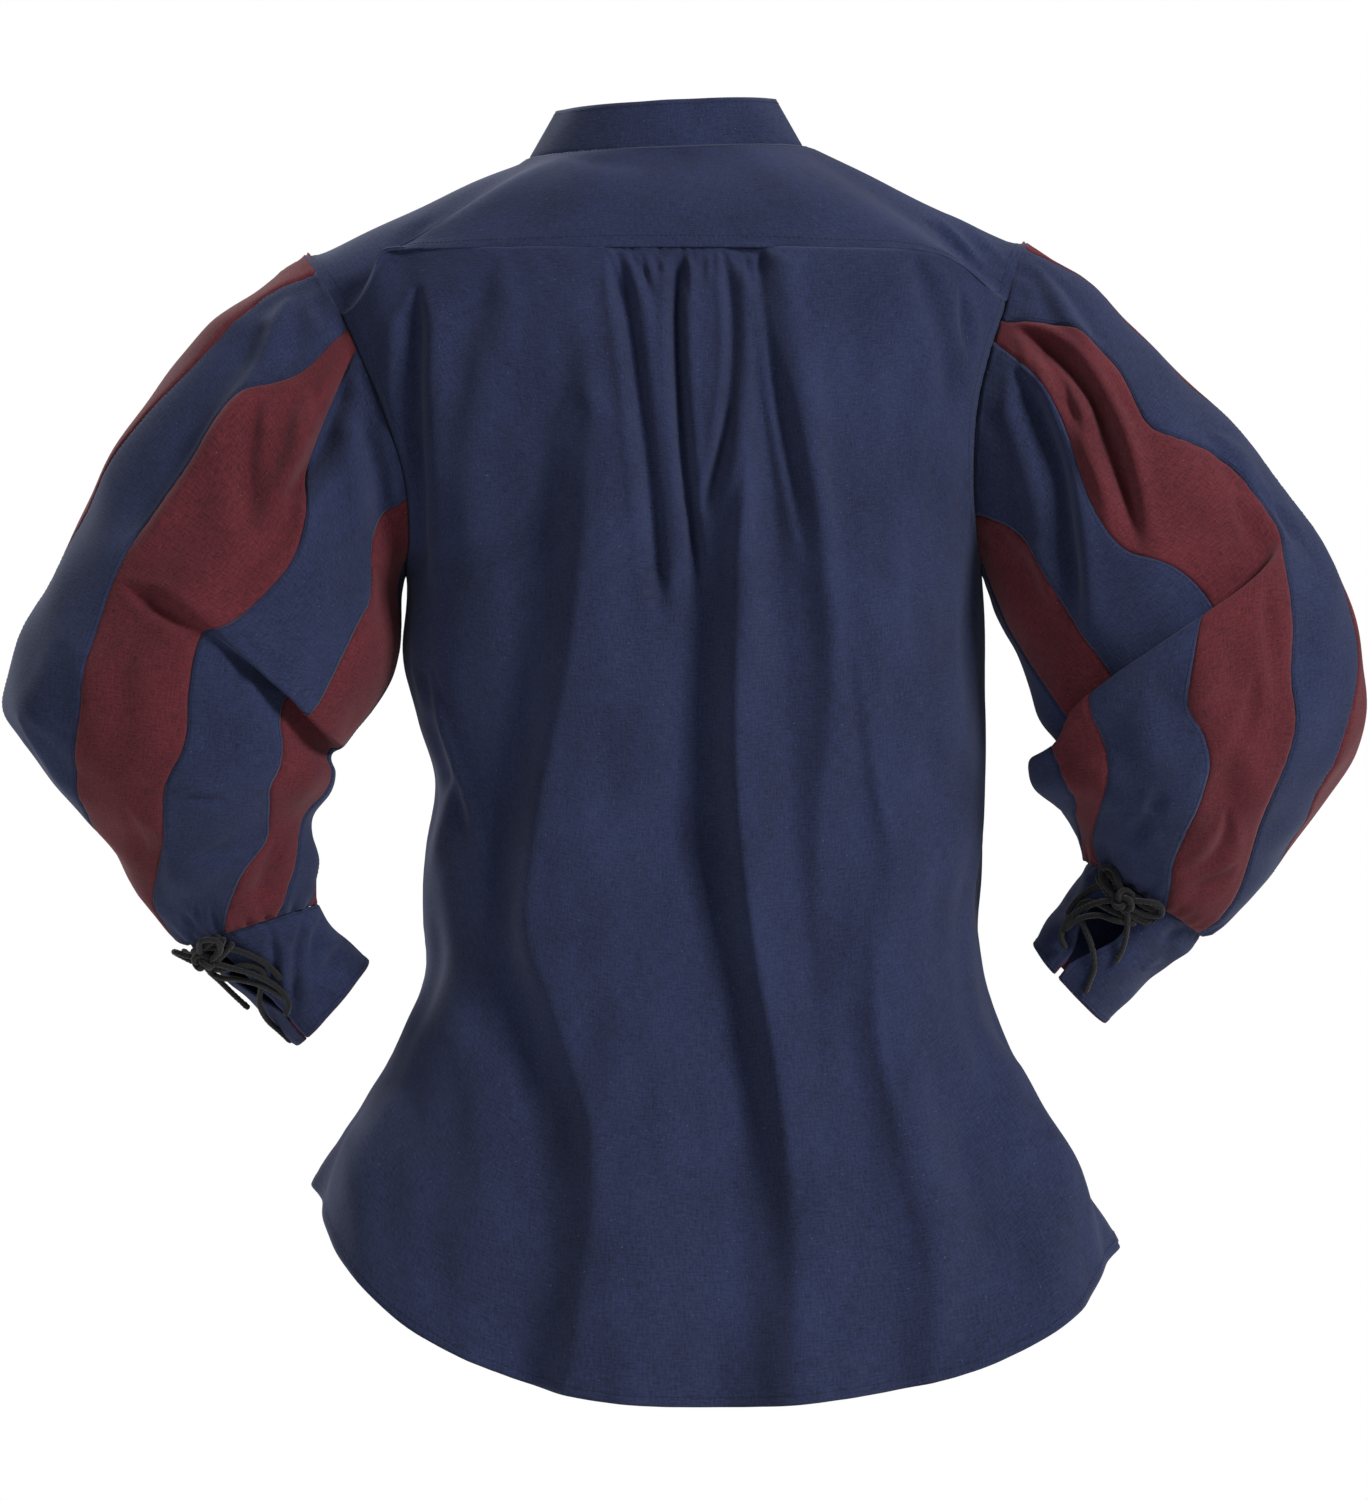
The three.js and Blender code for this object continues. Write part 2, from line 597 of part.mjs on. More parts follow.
function armholeNormal(side, angle) {
  const end = armholeEnd(side, angle);
  const { top, backCorner, frontCorner, side: sign } = ARMHOLE[side];
  const behind = Math.sin(radians(angle)) >= 0;
  const corner = behind ? backCorner : frontCorner;
  if (end.z < corner) return torsoNormal(end.angle, end.z);
  const reach = behind ? NECK_ANGLE.backCorner : -NECK_ANGLE.frontCorner;
  const neckAngle = reach * (top - end.z) / (top - corner);
  return shoulderNormal(sign > 0 ? neckAngle : 180 - neckAngle, 1);
}

// Where the sleeve starts and the direction of its edge. It starts a little outside the armhole, in
// the surface of the body where the two run on, and over that surface where the sleeve hangs back
// down beside it.
function sleeveStart(side, angle, sleeveNormal) {
  const point = armholePoint(side, angle);
  const bodyNormal = armholeNormal(side, angle);
  const along = armholePoint(side, angle + 1).sub(armholePoint(side, angle - 1));
  const off = along.cross(bodyNormal).normalize();
  const under = Math.max(0, -Math.cos(radians(angle)));
  if (off.x * ARMHOLE[side].side + off.z * under < 0) off.negate();
  const runOn = smooth((bodyNormal.dot(sleeveNormal) + 0.2) / 0.8);
  const shift = off.multiplyScalar(runOn).addScaledVector(bodyNormal, 1 - runOn).normalize();
  const normal = bodyNormal.multiplyScalar(runOn).addScaledVector(sleeveNormal, 1 - runOn).normalize();
  return { point: point.addScaledVector(shift, ARMHOLE_GAP), normal };
}

function ringPoint(side, ring, angle) {
  const rings = SLEEVE_RINGS[side];
  rings.forEach((row, i) => { row.number = i; });
  const value = (column) => follow(rings, column, 'number', ring);
  const c = Math.cos(radians(angle));
  const s = Math.sin(radians(angle));
  const outer = 0.5 * (1 + c);
  return new THREE.Vector3(
    mix(value('innerX'), value('outerX'), outer),
    value('mid') + value('deep') * s,
    mix(value('innerZ'), value('outerZ'), outer),
  );
}

// The sleeve before its folds. The first two rings run over into the true armhole line.
function smoothSleevePoint(side, ring, angle) {
  const point = ringPoint(side, ring, angle);
  const hold = (1 - clamp(ring / 2, 0, 1)) ** 2;
  if (hold === 0) return point;
  const off = armholePoint(side, angle).sub(ringPoint(side, 0, angle));
  return point.addScaledVector(off, hold);
}

function seamAngles(side, ring) {
  const rings = SLEEVE_RINGS[side];
  rings.forEach((row, i) => { row.number = i; });
  const back = ['a', 'b', 'c', 'd', 'e'].map((column) => follow(rings, column, 'number', ring));
  const left = back[0] + 360 - back[4];
  const front = [0, 1, 2].map((i) => back[4] + left
    * mix(FRONT_SEAM_SHARES.armhole[i], FRONT_SEAM_SHARES.sleeve[i], smooth(ring / 3)));
  return [...back, ...front, back[0] + 360];
}

function sleeveFoldDepth(side, ring, angle) {
  let depth = 0;
  for (const fold of SLEEVE_FOLDS[side]) {
    const dr = (fold.toRing - fold.ring) * RING_STEP;
    const da = (fold.toAngle - fold.angle) * DEGREE_STEP;
    const turn = ((angle - fold.angle + 540) % 360) - 180;
    const pr = (ring - fold.ring) * RING_STEP;
    const pa = turn * DEGREE_STEP;
    const t = clamp((pr * dr + pa * da) / (dr * dr + da * da), 0, 1);
    const distance = Math.hypot(pr - t * dr, pa - t * da);
    const fade = smooth(0.25 + 2.2 * Math.min(t, 1 - t));
    depth += fold.deep * fade * Math.exp(-((distance / fold.wide) ** 2));
  }
  const inside = Math.max(0, -Math.cos(radians(angle)));
  return depth * smooth(ring / 1.5) * (1 - inside ** 6 * (1 - smooth((ring - 4) / 2)));
}

// Waves of the cloth where it is gathered in to an armhole or a cuff
function gatherDepth(side, ring, share, width) {
  const last = SLEEVE_RINGS[side].length - 1;
  const rise = (distance, reach) => smooth(distance / 0.35) * (1 - smooth(distance / reach));
  const swell = rise(ring, GATHER.armholeReach) + rise(last - ring, GATHER.cuffReach);
  const deep = Math.min(GATHER.deep, GATHER.steepest * width);
  return deep * swell * Math.cos(2 * Math.PI * GATHER.waves * share);
}

function sleevePanel(side, number) {
  const last = SLEEVE_RINGS[side].length - 1;
  const ringNumbers = [
    0, 0.35, 0.8, 1.4, 2.1, 2.9, 3.7, 4.5, 5.3, 6.1, 6.8, 7.5,
    ...spaced(6, 8.3, last - 0.35), last,
  ];
  const shares = spaced(4, 0, 1);
  const surface = (ring, angle) => smoothSleevePoint(side, ring, angle);
  const points = [];
  const normals = [];
  for (const ring of ringNumbers) {
    const seams = seamAngles(side, ring);
    const middle = ringPoint(side, ring, 0).add(ringPoint(side, ring, 180)).multiplyScalar(0.5);
    const width = surface(ring, seams[number]).distanceTo(surface(ring, seams[number + 1]));
    const pointRow = [];
    const normalRow = [];
    for (const share of shares) {
      const angle = mix(seams[number], seams[number + 1], share);
      const inRange = clamp(ring, 0.05, last - 0.05);
      const point = surface(ring, angle);
      const ownNormal = normalOf(surface, inRange, angle, 0.05, 1, point.clone().sub(middle));
      if (ring === 0) {
        const start = sleeveStart(side, angle, ownNormal);
        pointRow.push(start.point);
        normalRow.push(start.normal);
        continue;
      }
      const depth = sleeveFoldDepth(side, ring, angle) - gatherDepth(side, ring, share, width);
      pointRow.push(point.addScaledVector(ownNormal, ring === last ? 0 : -depth));
      normalRow.push(ring === last ? cuffNormal(side, 0, angle) : ownNormal);
    }
    points.push(pointRow);
    normals.push(normalRow);
  }
  inset(points, { last: SEAM_INSET, start: SEAM_INSET, end: SEAM_INSET });
  return wall(points, normals);
}

// Cuffs

function cuffPoint(side, share, angle) {
  const rings = SLEEVE_RINGS[side];
  const top = rings[rings.length - 1];
  const wrist = CUFFS[side];
  const value = (column) => mix(top[column], wrist[column], share);
  const outer = 0.5 * (1 + Math.cos(radians(angle)));
  return new THREE.Vector3(
    mix(value('innerX'), value('outerX'), outer),
    value('mid') + value('deep') * Math.sin(radians(angle)),
    mix(value('innerZ'), value('outerZ'), outer),
  );
}

function cuffNormal(side, share, angle) {
  const middle = cuffPoint(side, share, 0).add(cuffPoint(side, share, 180)).multiplyScalar(0.5);
  const surface = (along, round) => cuffPoint(side, along, round);
  return normalOf(surface, share, angle, 0.05, 1, cuffPoint(side, share, angle).sub(middle));
}

// Degrees round the cuff for one millimetre, at the opening
function degreesPerMillimetre(side, share) {
  const { slit } = CUFFS[side];
  return 1 / cuffPoint(side, share, slit + 0.5).distanceTo(cuffPoint(side, share, slit - 0.5));
}

function cuff(side) {
  const { slit } = CUFFS[side];
  const rows = [0, 0.2, 0.42, 0.62, 0.8, 1];
  const shares = spaced(22, 0, 1);
  const points = [];
  const normals = [];
  for (const row of rows) {
    const half = follow(CUFF_OPENING, 'half', 'share', row) * degreesPerMillimetre(side, row);
    const angles = shares.map((share) => mix(slit + half, slit + 360 - half, share));
    points.push(angles.map((angle) => cuffPoint(side, row, angle)));
    normals.push(angles.map((angle) => cuffNormal(side, row, angle)));
  }
  inset(points, { first: SEAM_INSET });
  return wall(points, normals);
}

// A place over the cuff by the opening: mm across it, share along the cuff, mm off the cloth
function overCuff(side, across, along, lift) {
  const angle = CUFFS[side].slit + across * degreesPerMillimetre(side, along);
  const point = cuffPoint(side, along, angle);
  return point.addScaledVector(cuffNormal(side, along, angle), lift);
}

function lace(side) {
  const radius = 0.5 * LACE_DIAMETER;
  const route = LACE_ROUTE.map(({ across, along, lift }) => (
    overCuff(side, across, along, radius + LACE_CLEARANCE + lift)));
  const section = new THREE.Shape();
  for (let i = 0; i < LACE_SIDES; i += 1) {
    const angle = 2 * Math.PI * i / LACE_SIDES;
    const method = i === 0 ? 'moveTo' : 'lineTo';
    section[method](radius * Math.cos(angle), radius * Math.sin(angle));
  }
  section.closePath();
  return new THREE.ExtrudeGeometry(section, {
    steps: LACE_STEPS, bevelEnabled: false, extrudePath: new THREE.CatmullRomCurve3(route),
  });
}

function laceKnot(side) {
  const { radius, steps, sides } = KNOT;
  const knot = new THREE.TorusKnotGeometry(radius, 0.5 * LACE_DIAMETER, steps, sides, 2, 3);
  const place = overCuff(side, KNOT.across, KNOT.along, LACE_DIAMETER + KNOT.lift);
  const angle = CUFFS[side].slit;
  const turn = new THREE.Quaternion().setFromUnitVectors(
    new THREE.Vector3(0, 0, 1), cuffNormal(side, KNOT.along, angle));
  return knot.applyQuaternion(turn).translate(place.x, place.y, place.z);
}

// The shirt

const shirt = new THREE.Group();

function add(name, geometry, colour, roughness = 0.92) {
  const material = new THREE.MeshStandardMaterial({ color: colour, roughness, metalness: 0 });
  const mesh = new THREE.Mesh(geometry, material);
  mesh.name = name;
  mesh.position.x = -CENTRE_LINE;
  shirt.add(mesh);
}

add('back_panel', backPanel(), NAVY);
add('front_panel', frontPanel(), NAVY);
add('yoke', yoke(), NAVY);
add('collar', collar(), NAVY);
for (const side of ['left', 'right']) {
  for (let number = 0; number < 8; number += 1) {
    const blue = number % 2 === 0;
    const name = `${side}_sleeve_${blue ? 'blue' : 'burgundy'}_${Math.floor(number / 2) + 1}`;
    add(name, sleevePanel(side, number), blue ? NAVY : BURGUNDY);
  }
  add(`${side}_cuff`, cuff(side), NAVY);
  add(`${side}_cuff_lace`, lace(side), BLACK, 0.85);
  add(`${side}_cuff_knot`, laceKnot(side), BLACK, 0.85);
}

export default shirt;
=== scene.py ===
"""Landsknecht shirt: cloth, sewing and laces over its CAD solids.

Lengths in the tables are millimetres, as in the part's own source: +Z up, the front faces -Y and
the wearer's left is +X. A mesh gets metres, with the shirt's centre line moved to X = 0.
"""

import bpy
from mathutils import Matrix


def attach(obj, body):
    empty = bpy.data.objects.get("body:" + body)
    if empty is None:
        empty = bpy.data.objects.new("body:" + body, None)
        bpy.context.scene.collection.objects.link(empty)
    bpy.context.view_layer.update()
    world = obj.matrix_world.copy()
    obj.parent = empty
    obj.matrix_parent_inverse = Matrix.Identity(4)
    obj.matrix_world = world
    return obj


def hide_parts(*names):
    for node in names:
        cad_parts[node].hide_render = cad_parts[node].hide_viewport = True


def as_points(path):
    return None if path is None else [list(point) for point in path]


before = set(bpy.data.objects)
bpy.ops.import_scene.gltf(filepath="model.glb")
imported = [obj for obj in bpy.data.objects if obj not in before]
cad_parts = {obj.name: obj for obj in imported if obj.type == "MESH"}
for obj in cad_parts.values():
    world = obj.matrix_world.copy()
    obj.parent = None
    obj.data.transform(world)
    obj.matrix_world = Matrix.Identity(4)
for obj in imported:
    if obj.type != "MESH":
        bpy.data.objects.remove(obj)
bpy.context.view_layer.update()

import math

import bpy
import numpy as np
from bpy.props import FloatProperty, FloatVectorProperty, PointerProperty
from bpy.types import Operator, Panel, PropertyGroup

bl_info = {
    "name": "Landsknecht shirt",
    "version": (1, 0, 0),
    "blender": (4, 2, 0),
    "location": "View3D > Sidebar > Shirt",
    "description": "A wide shirt with striped sleeves and laced cuffs, in its worn form",
    "category": "Object",
}

MM = 0.001
CENTRE_LINE = 4.0      # X of the shirt's centre line in the tables
SEAM_GAP = 0.08        # each piece ends this far from its seam
SQUARENESS = 0.12      # how far a torso section is from an ellipse
SLIT_HALF_WIDTH = 2.5  # front neck slit
SLIT_LOW_Z = -235.0
YOKE_LAP = 0.9         # how far the yoke laps over the back's gathers
COLLAR_HEIGHT = 30.0
LACE_DIAMETER = 3.8
LACE_CLEARANCE = 0.4   # between a lace and the cuff under it
ALLOWANCE = 3.0        # tucked under the neighbouring piece
STRIP_ALLOWANCE = {"side": 2.5, "cuff": 2.6, "deep": 4.6}
STITCH_RADIUS = 0.27
HEM_STITCH = 6.2       # how far lines of stitches are from their edge
SEAM_STITCHES = (2.4, 8.8)
EDGE_STITCH = 3.2
STRIP_STITCH = 2.6
SIDES = ("left", "right")


# Small helpers

def table(columns, rows):
    """Named columns as arrays, from rows of numbers."""
    return dict(zip(columns.split(), np.array(rows, float).T))


def radians(degrees):
    return np.asarray(degrees, float) * math.pi / 180


def each_row(values):
    """The rows of a table, each with its numbers by name."""
    return [dict(zip(values, row)) for row in zip(*values.values())]


def mix(a, b, share):
    return a + (b - a) * share


def smooth(value):
    """0 below 0, 1 above 1, and 3 t squared less 2 t cubed between."""
    t = np.clip(value, 0, 1)
    return t * t * (3 - 2 * t)


def bell(distance, wide):
    """A soft hump: e to the minus square of distance over width."""
    return np.exp(-((distance / wide) ** 2))


def unit(vectors):
    length = np.linalg.norm(vectors, axis=-1, keepdims=True)
    return vectors / np.maximum(length, 1e-9)


def stack(x, y, z):
    return np.stack(np.broadcast_arrays(x, y, z), axis=-1)


def in_metres(points):
    return (points - [CENTRE_LINE, 0, 0]) * MM


def run_along(path):
    """Distance in mm from a path's first point to each of its points."""
    return np.concatenate([[0], np.cumsum(np.linalg.norm(np.diff(path, axis=0), axis=1))])


def at_places(places, run, values):
    """Values of a path's points at given distances along it."""
    return np.stack([np.interp(places, run, values[:, k]) for k in range(3)], axis=1)


def follow(rows, column, key, place):
    """A smooth curve through one column of a table: cubic pieces whose slope in each row is that
    from the row before to the row after."""
    keys, values = rows[key], rows[column]
    if keys[-1] < keys[0]:
        keys, values = keys[::-1], values[::-1]
    last = len(keys) - 1
    before = np.maximum(np.arange(last + 1) - 1, 0)
    after = np.minimum(np.arange(last + 1) + 1, last)
    slopes = (values[after] - values[before]) / (keys[after] - keys[before])
    i = np.clip(np.searchsorted(keys, place, side="right") - 1, 0, last - 1)
    span = keys[i + 1] - keys[i]
    t = np.clip((place - keys[i]) / span, 0, 1)
    rise = values[i + 1] - values[i]
    start, end = slopes[i] * span, slopes[i + 1] * span
    return values[i] + t * (start + t * (3 * rise - 2 * start - end + t * (start + end - 2 * rise)))


def normal_of(surface, u, v, step_u, step_v, hint):
    """Unit normal of a surface of two numbers: the cross product of its two slopes, on the hint's side."""
    along_u = surface(u + step_u, v) - surface(u - step_u, v)
    along_v = surface(u, v + step_v) - surface(u, v - step_v)
    normal = unit(np.cross(along_u, along_v))
    facing = np.sum(normal * hint, axis=-1, keepdims=True)
    return np.where(facing < 0, -normal, normal)


# Sizes, as in the part's source

TORSO = table("z left_seam right_seam left_reach right_reach back front", [
    [-54, 246, -238, 246, -238, 90, 90],
    [-62, 246, -237, 246, -237, 94, 93],
    [-70, 245, -232, 245, -236, 98, 96],
    [-90, 231, -225, 243, -234, 106, 102],
    [-110, 219, -219, 238, -230, 112, 108],
    [-140, 205, -209, 229, -223, 119, 116],
    [-175, 190, -201, 216, -216, 124, 122],
    [-222, 175, -199, 201, -210, 127, 127],
    [-260, 173, -202, 185, -208, 126, 128],
    [-284, 177, -206, 177, -206, 125, 127],
    [-334, 178, -208, 178, -208, 121, 124],
    [-381, 169, -208, 169, -208, 115, 119],
    [-420, 158, -208, 158, -208, 110, 114],
    [-465, 164, -207, 164, -207, 107, 110],
    [-510, 166, -203, 166, -203, 108, 109],
    [-550, 165, -208, 165, -208, 112, 111],
    [-600, 185, -226, 185, -226, 119, 115],
    [-640, 206, -246, 206, -246, 126, 120],
    [-680, 236, -268, 236, -268, 133, 125],
    [-730, 252, -297, 252, -297, 140, 131],
    [-780, 262, -312, 262, -312, 146, 136],
    [-830, 268, -318, 268, -318, 150, 140],
])
ARMHOLE = {
    "left": {"top": -70, "low": -284, "back_corner": -114, "front_corner": -104, "sign": 1},
    "right": {"top": -62, "low": -284, "back_corner": -104, "front_corner": -98, "sign": -1},
}
HEM = table("share back front", [
    [0, -689, -689], [0.1, -702, -697], [0.2, -735, -724], [0.3, -779, -758],
    [0.4, -811, -784], [0.5, -820, -792], [0.6, -813, -788], [0.7, -795, -776],
    [0.8, -764, -753], [0.9, -738, -734], [1, -729, -729],
])
NECK = {"middle": 4, "half": 91, "back": 62, "front": 70, "front_drop": 54, "tilt": 4}
YOKE_SEAM_Z = -73.0
BACK_CORNER, FRONT_CORNER = 22.0, 35.0          # neck angles where the yoke seams end
BULGE = {"side": 3, "back": 7, "front": 11}     # how far the shoulders stand off their chords

RING_COLUMNS = "number outer_x outer_z inner_x inner_z mid deep a b c d e"
SLEEVE_RINGS = {
    "left": table(RING_COLUMNS, [
        [0, 245, -70, 177, -284, 0, 72, 30, 60, 68, 124, 156],
        [1, 273, -98, 180, -297, 3, 80, 23, 64, 84, 128, 166],
        [2, 311, -134, 180, -318, 8, 90, 26, 54, 98, 140, 180],
        [3, 346, -184, 181, -335, 15, 96, 20, 53, 103, 138, 180],
        [4, 379, -241, 186, -354, 22, 99, 14, 50, 98, 137, 178],
        [5, 404, -288, 197, -372, 30, 99, 8, 51, 88, 137, 177],
        [6, 429, -331, 210, -390, 38, 96, 5, 58, 95, 129, 176],
        [7, 440, -367, 220, -403, 42, 91, 0, 62, 100, 136, 175],
        [8, 429, -392, 221, -415, 42, 88, -4, 54, 95, 134, 175],
        [9, 410, -420, 226, -428, 39, 84, -10, 41, 85, 130, 172],
        [10, 389, -446, 237, -443, 34, 76, -25, 23, 78, 134, 165],
        [11, 377, -463, 239, -457, 29, 70, -40, 5, 71, 131, 158],
        [12, 364, -489, 235, -473, 23, 62, -60, -15, 52, 109, 145],
        [13, 350, -507, 236, -488, 17, 54, -75, -30, 31, 96, 135],
        [14, 322, -530, 238, -503, 10, 44, -80, -35, 10, 72, 120],
    ]),
    "right": table(RING_COLUMNS, [
        [0, -237, -62, -206, -284, 0, 74, 16, 60, 68, 131, 158],
        [1, -272, -84, -211, -296, 3, 80, 10, 50, 76, 127, 165],
        [2, -305, -114, -215, -309, 8, 90, 14, 49, 89, 126, 165],
        [3, -337, -149, -221, -322, 15, 96, 12, 57, 96, 128, 168],
        [4, -373, -191, -229, -337, 22, 99, 8, 42, 96, 131, 168],
        [5, -405, -236, -237, -360, 30, 99, 5, 37, 78, 127, 160],
        [6, -434, -285, -242, -380, 38, 96, 10, 50, 84, 127, 155],
        [7, -451, -331, -245, -397, 42, 92, 18, 60, 99, 133, 160],
        [8, -457, -367, -245, -411, 42, 89, 28, 61, 95, 131, 154],
        [9, -450, -400, -246, -424, 40, 86, 34, 61, 91, 130, 150],
        [10, -431, -433, -253, -437, 35, 80, 30, 61, 91, 136, 152],
        [11, -409, -466, -263, -448, 29, 72, 10, 53, 93, 146, 165],
        [12, -386, -496, -270, -460, 22, 62, -10, 42, 92, 155, 175],
        [13, -352, -524, -276, -474, 14, 46, -25, 30, 76, 143, 175],
    ]),
}
LAST_RING = {side: int(SLEEVE_RINGS[side]["number"][-1]) for side in SIDES}
ARMHOLE_SHARES, SLEEVE_SHARES = (0.3, 0.42, 0.76), (0.25, 0.5, 0.75)   # of the three front seams

CUFFS = {
    "left": {"outer_x": 250, "outer_z": -595, "inner_x": 203, "inner_z": -541, "mid": -6, "deep": 33,
             "slit": 42, "open": 0.55},
    "right": {"outer_x": -288, "outer_z": -580, "inner_x": -240, "inner_z": -528, "mid": 4, "deep": 33,
              "slit": 108, "open": 1.1},
}
CUFF_OPENING = table("share half", [[0, 3.5], [0.2, 9.5], [0.42, 12.5], [0.62, 8], [0.8, 2.4], [1, 2.0]])
# A lace over its cuff's opening: mm across it, share along the cuff, and mm off the cloth
LACE_ROUTE = table("across along lift", [
    [-21, 0.97, 0.2], [-18, 0.86, 0.4], [-14, 0.74, 1.0], [-4, 0.62, 1.0], [8, 0.53, 0.6],
    [17.5, 0.46, 0.3], [19.5, 0.37, 0.3], [14, 0.30, 0.8], [0, 0.26, 1.4], [-13, 0.21, 0.8],
    [-17.5, 0.13, 0.3], [-13.5, 0.05, 0.6], [-4, 0.03, 1.2], [8, 0.06, 0.8], [17, 0.12, 0.3],
    [23, 0.24, 0.2], [25, 0.40, 0.2], [23, 0.56, 0.2],
])
# The bow, its ends and the strands beside it over each cuff, in the same way
LACE_LOOPS = [table("across along lift", rows) for rows in (
    [[-2, 0.10, 5], [-9, 0.02, 6.5], [-18, -0.05, 7.5], [-23, 0.02, 5.5], [-17, 0.10, 4], [-5, 0.13, 5]],
    [[-2, 0.10, 5], [6, 0.00, 7.0], [15, -0.08, 8.5], [21, -0.02, 7], [15, 0.08, 5], [2, 0.13, 5]],
    [[0, 0.12, 5], [8, 0.24, 4.2], [15, 0.40, 2.6], [18, 0.58, 2.2], [14, 0.74, 2.2], [6, 0.80, 2.4]],
    [[-3, 0.12, 5], [-9, 0.20, 4.4], [-15, 0.33, 2.6], [-20, 0.47, 2.2], [-22, 0.60, 2.2]],
    [[-16, 0.22, 2.6], [-6, 0.30, 3.6], [4, 0.36, 3.6], [12, 0.50, 2.6], [15, 0.68, 2.4]],
    [[-25, 0.00, 2.2], [-12, 0.05, 3.0], [4, 0.03, 3.2], [22, -0.03, 2.4]],
    [[-24, 0.11, 2.2], [-10, 0.17, 3.0], [8, 0.15, 3.0], [24, 0.07, 2.2]],
    [[23, 0.00, 2.6], [10, 0.10, 3.4], [-6, 0.19, 3.2], [-22, 0.16, 2.0]],
)]
KNOT = {"across": -2, "along": 0.1, "lift": 5.4, "radius": 4.6}

# Creases. Each follows a bow from a first point over a middle one to a last one, as seen from
# behind. right and left are its half widths on either hand of someone who follows it, deep is its
# depth, and a ridge is below zero.
CREASE_COLUMNS = "x1 z1 x2 z2 x3 z3 right left deep"
BACK_CREASES = table(CREASE_COLUMNS, [
    [42, -76, 38, -97, 35, -118, 2, 2.5, 3],
    [36, -74, 19, -193, 7, -330, 5, 6, 8.5],
    [-112, -300, -126, -390, -144, -477, 3, 3, -1.8],
    [-144, -480, -130, -560, -170, -750, 3, 3, -1.6],
    [25, -77, 18, -97, 11, -119, 3, 3, 2.5],
    [11, -77, 9, -86, 7, -96, 2, 2, 2],
    [-6, -74, -4, -161, -20, -320, 4, 4.5, 8.5],
    [-21, -77, -20, -90, -20, -104, 2.5, 2.5, 2],
    [-33, -74, -38, -160, -18, -260, 3.5, 5, 7],
    [-48, -77, -51, -92, -49, -110, 2, 2.5, 2.5],
    [-57, -74, -66, -150, -92, -290, 4, 8, 7],
    [-38, -176, -27, -226, -20, -262, 9, 9, 2.4],
    [-49, -220, -52, -252, -43, -303, 5, 6, 3],
    [43, -72, 36, -92, 31, -118, 1.6, 1.8, 2.6],
    [21, -72, 17, -90, 11, -110, 1.5, 1.7, 2.4],
    [-8, -72, -9, -88, -12, -122, 1.7, 1.5, 2.6],
    [-27, -72, -27, -84, -24, -98, 1.4, 1.6, 2.0],
    [-46, -72, -49, -84, -50, -96, 1.4, 1.4, 2.2],
    [160, -347, 143, -405, 127, -472, 4, 3, -3.2],
    [141, -408, 153, -452, 159, -487, 4, 4, -2.4],
    [172, -342, 162, -368, 150, -397, 4, 4, -2],
    [-16, -607, -18, -645, -20, -690, 2.5, 2.5, 1],
    [-207, -590, -237, -648, -272, -720, 12, 12, -4],
    [-173, -593, -195, -671, -224, -754, 16, 18, 5.5],
    [188, -600, 207, -658, 201, -722, 14, 14, -3.5],
    [143, -587, 156, -677, 149, -754, 24, 24, 4],
    [166, -96, 170, -198, 165, -306, 7, 8, 8],
    [114, -80, 132, -136, 138, -194, 12, 12, 4.5],
    [62, -171, 53, -207, 59, -252, 12, 10, 4],
    [-155, -79, -176, -129, -181, -200, 8, 7, 5.5],
    [-189, -97, -192, -123, -195, -155, 4, 4, 4.5],
    [-166, -194, -176, -278, -173, -368, 18, 18, 3],
    [33, -278, 20, -355, 20, -458, 20, 20, -3],
    [-52, -225, -47, -278, -52, -368, 6, 8, -4],
    [20, -561, 7, -690, 1, -806, 30, 30, -5],
    [-108, -561, -121, -658, -134, -806, 16, 16, 4],
])
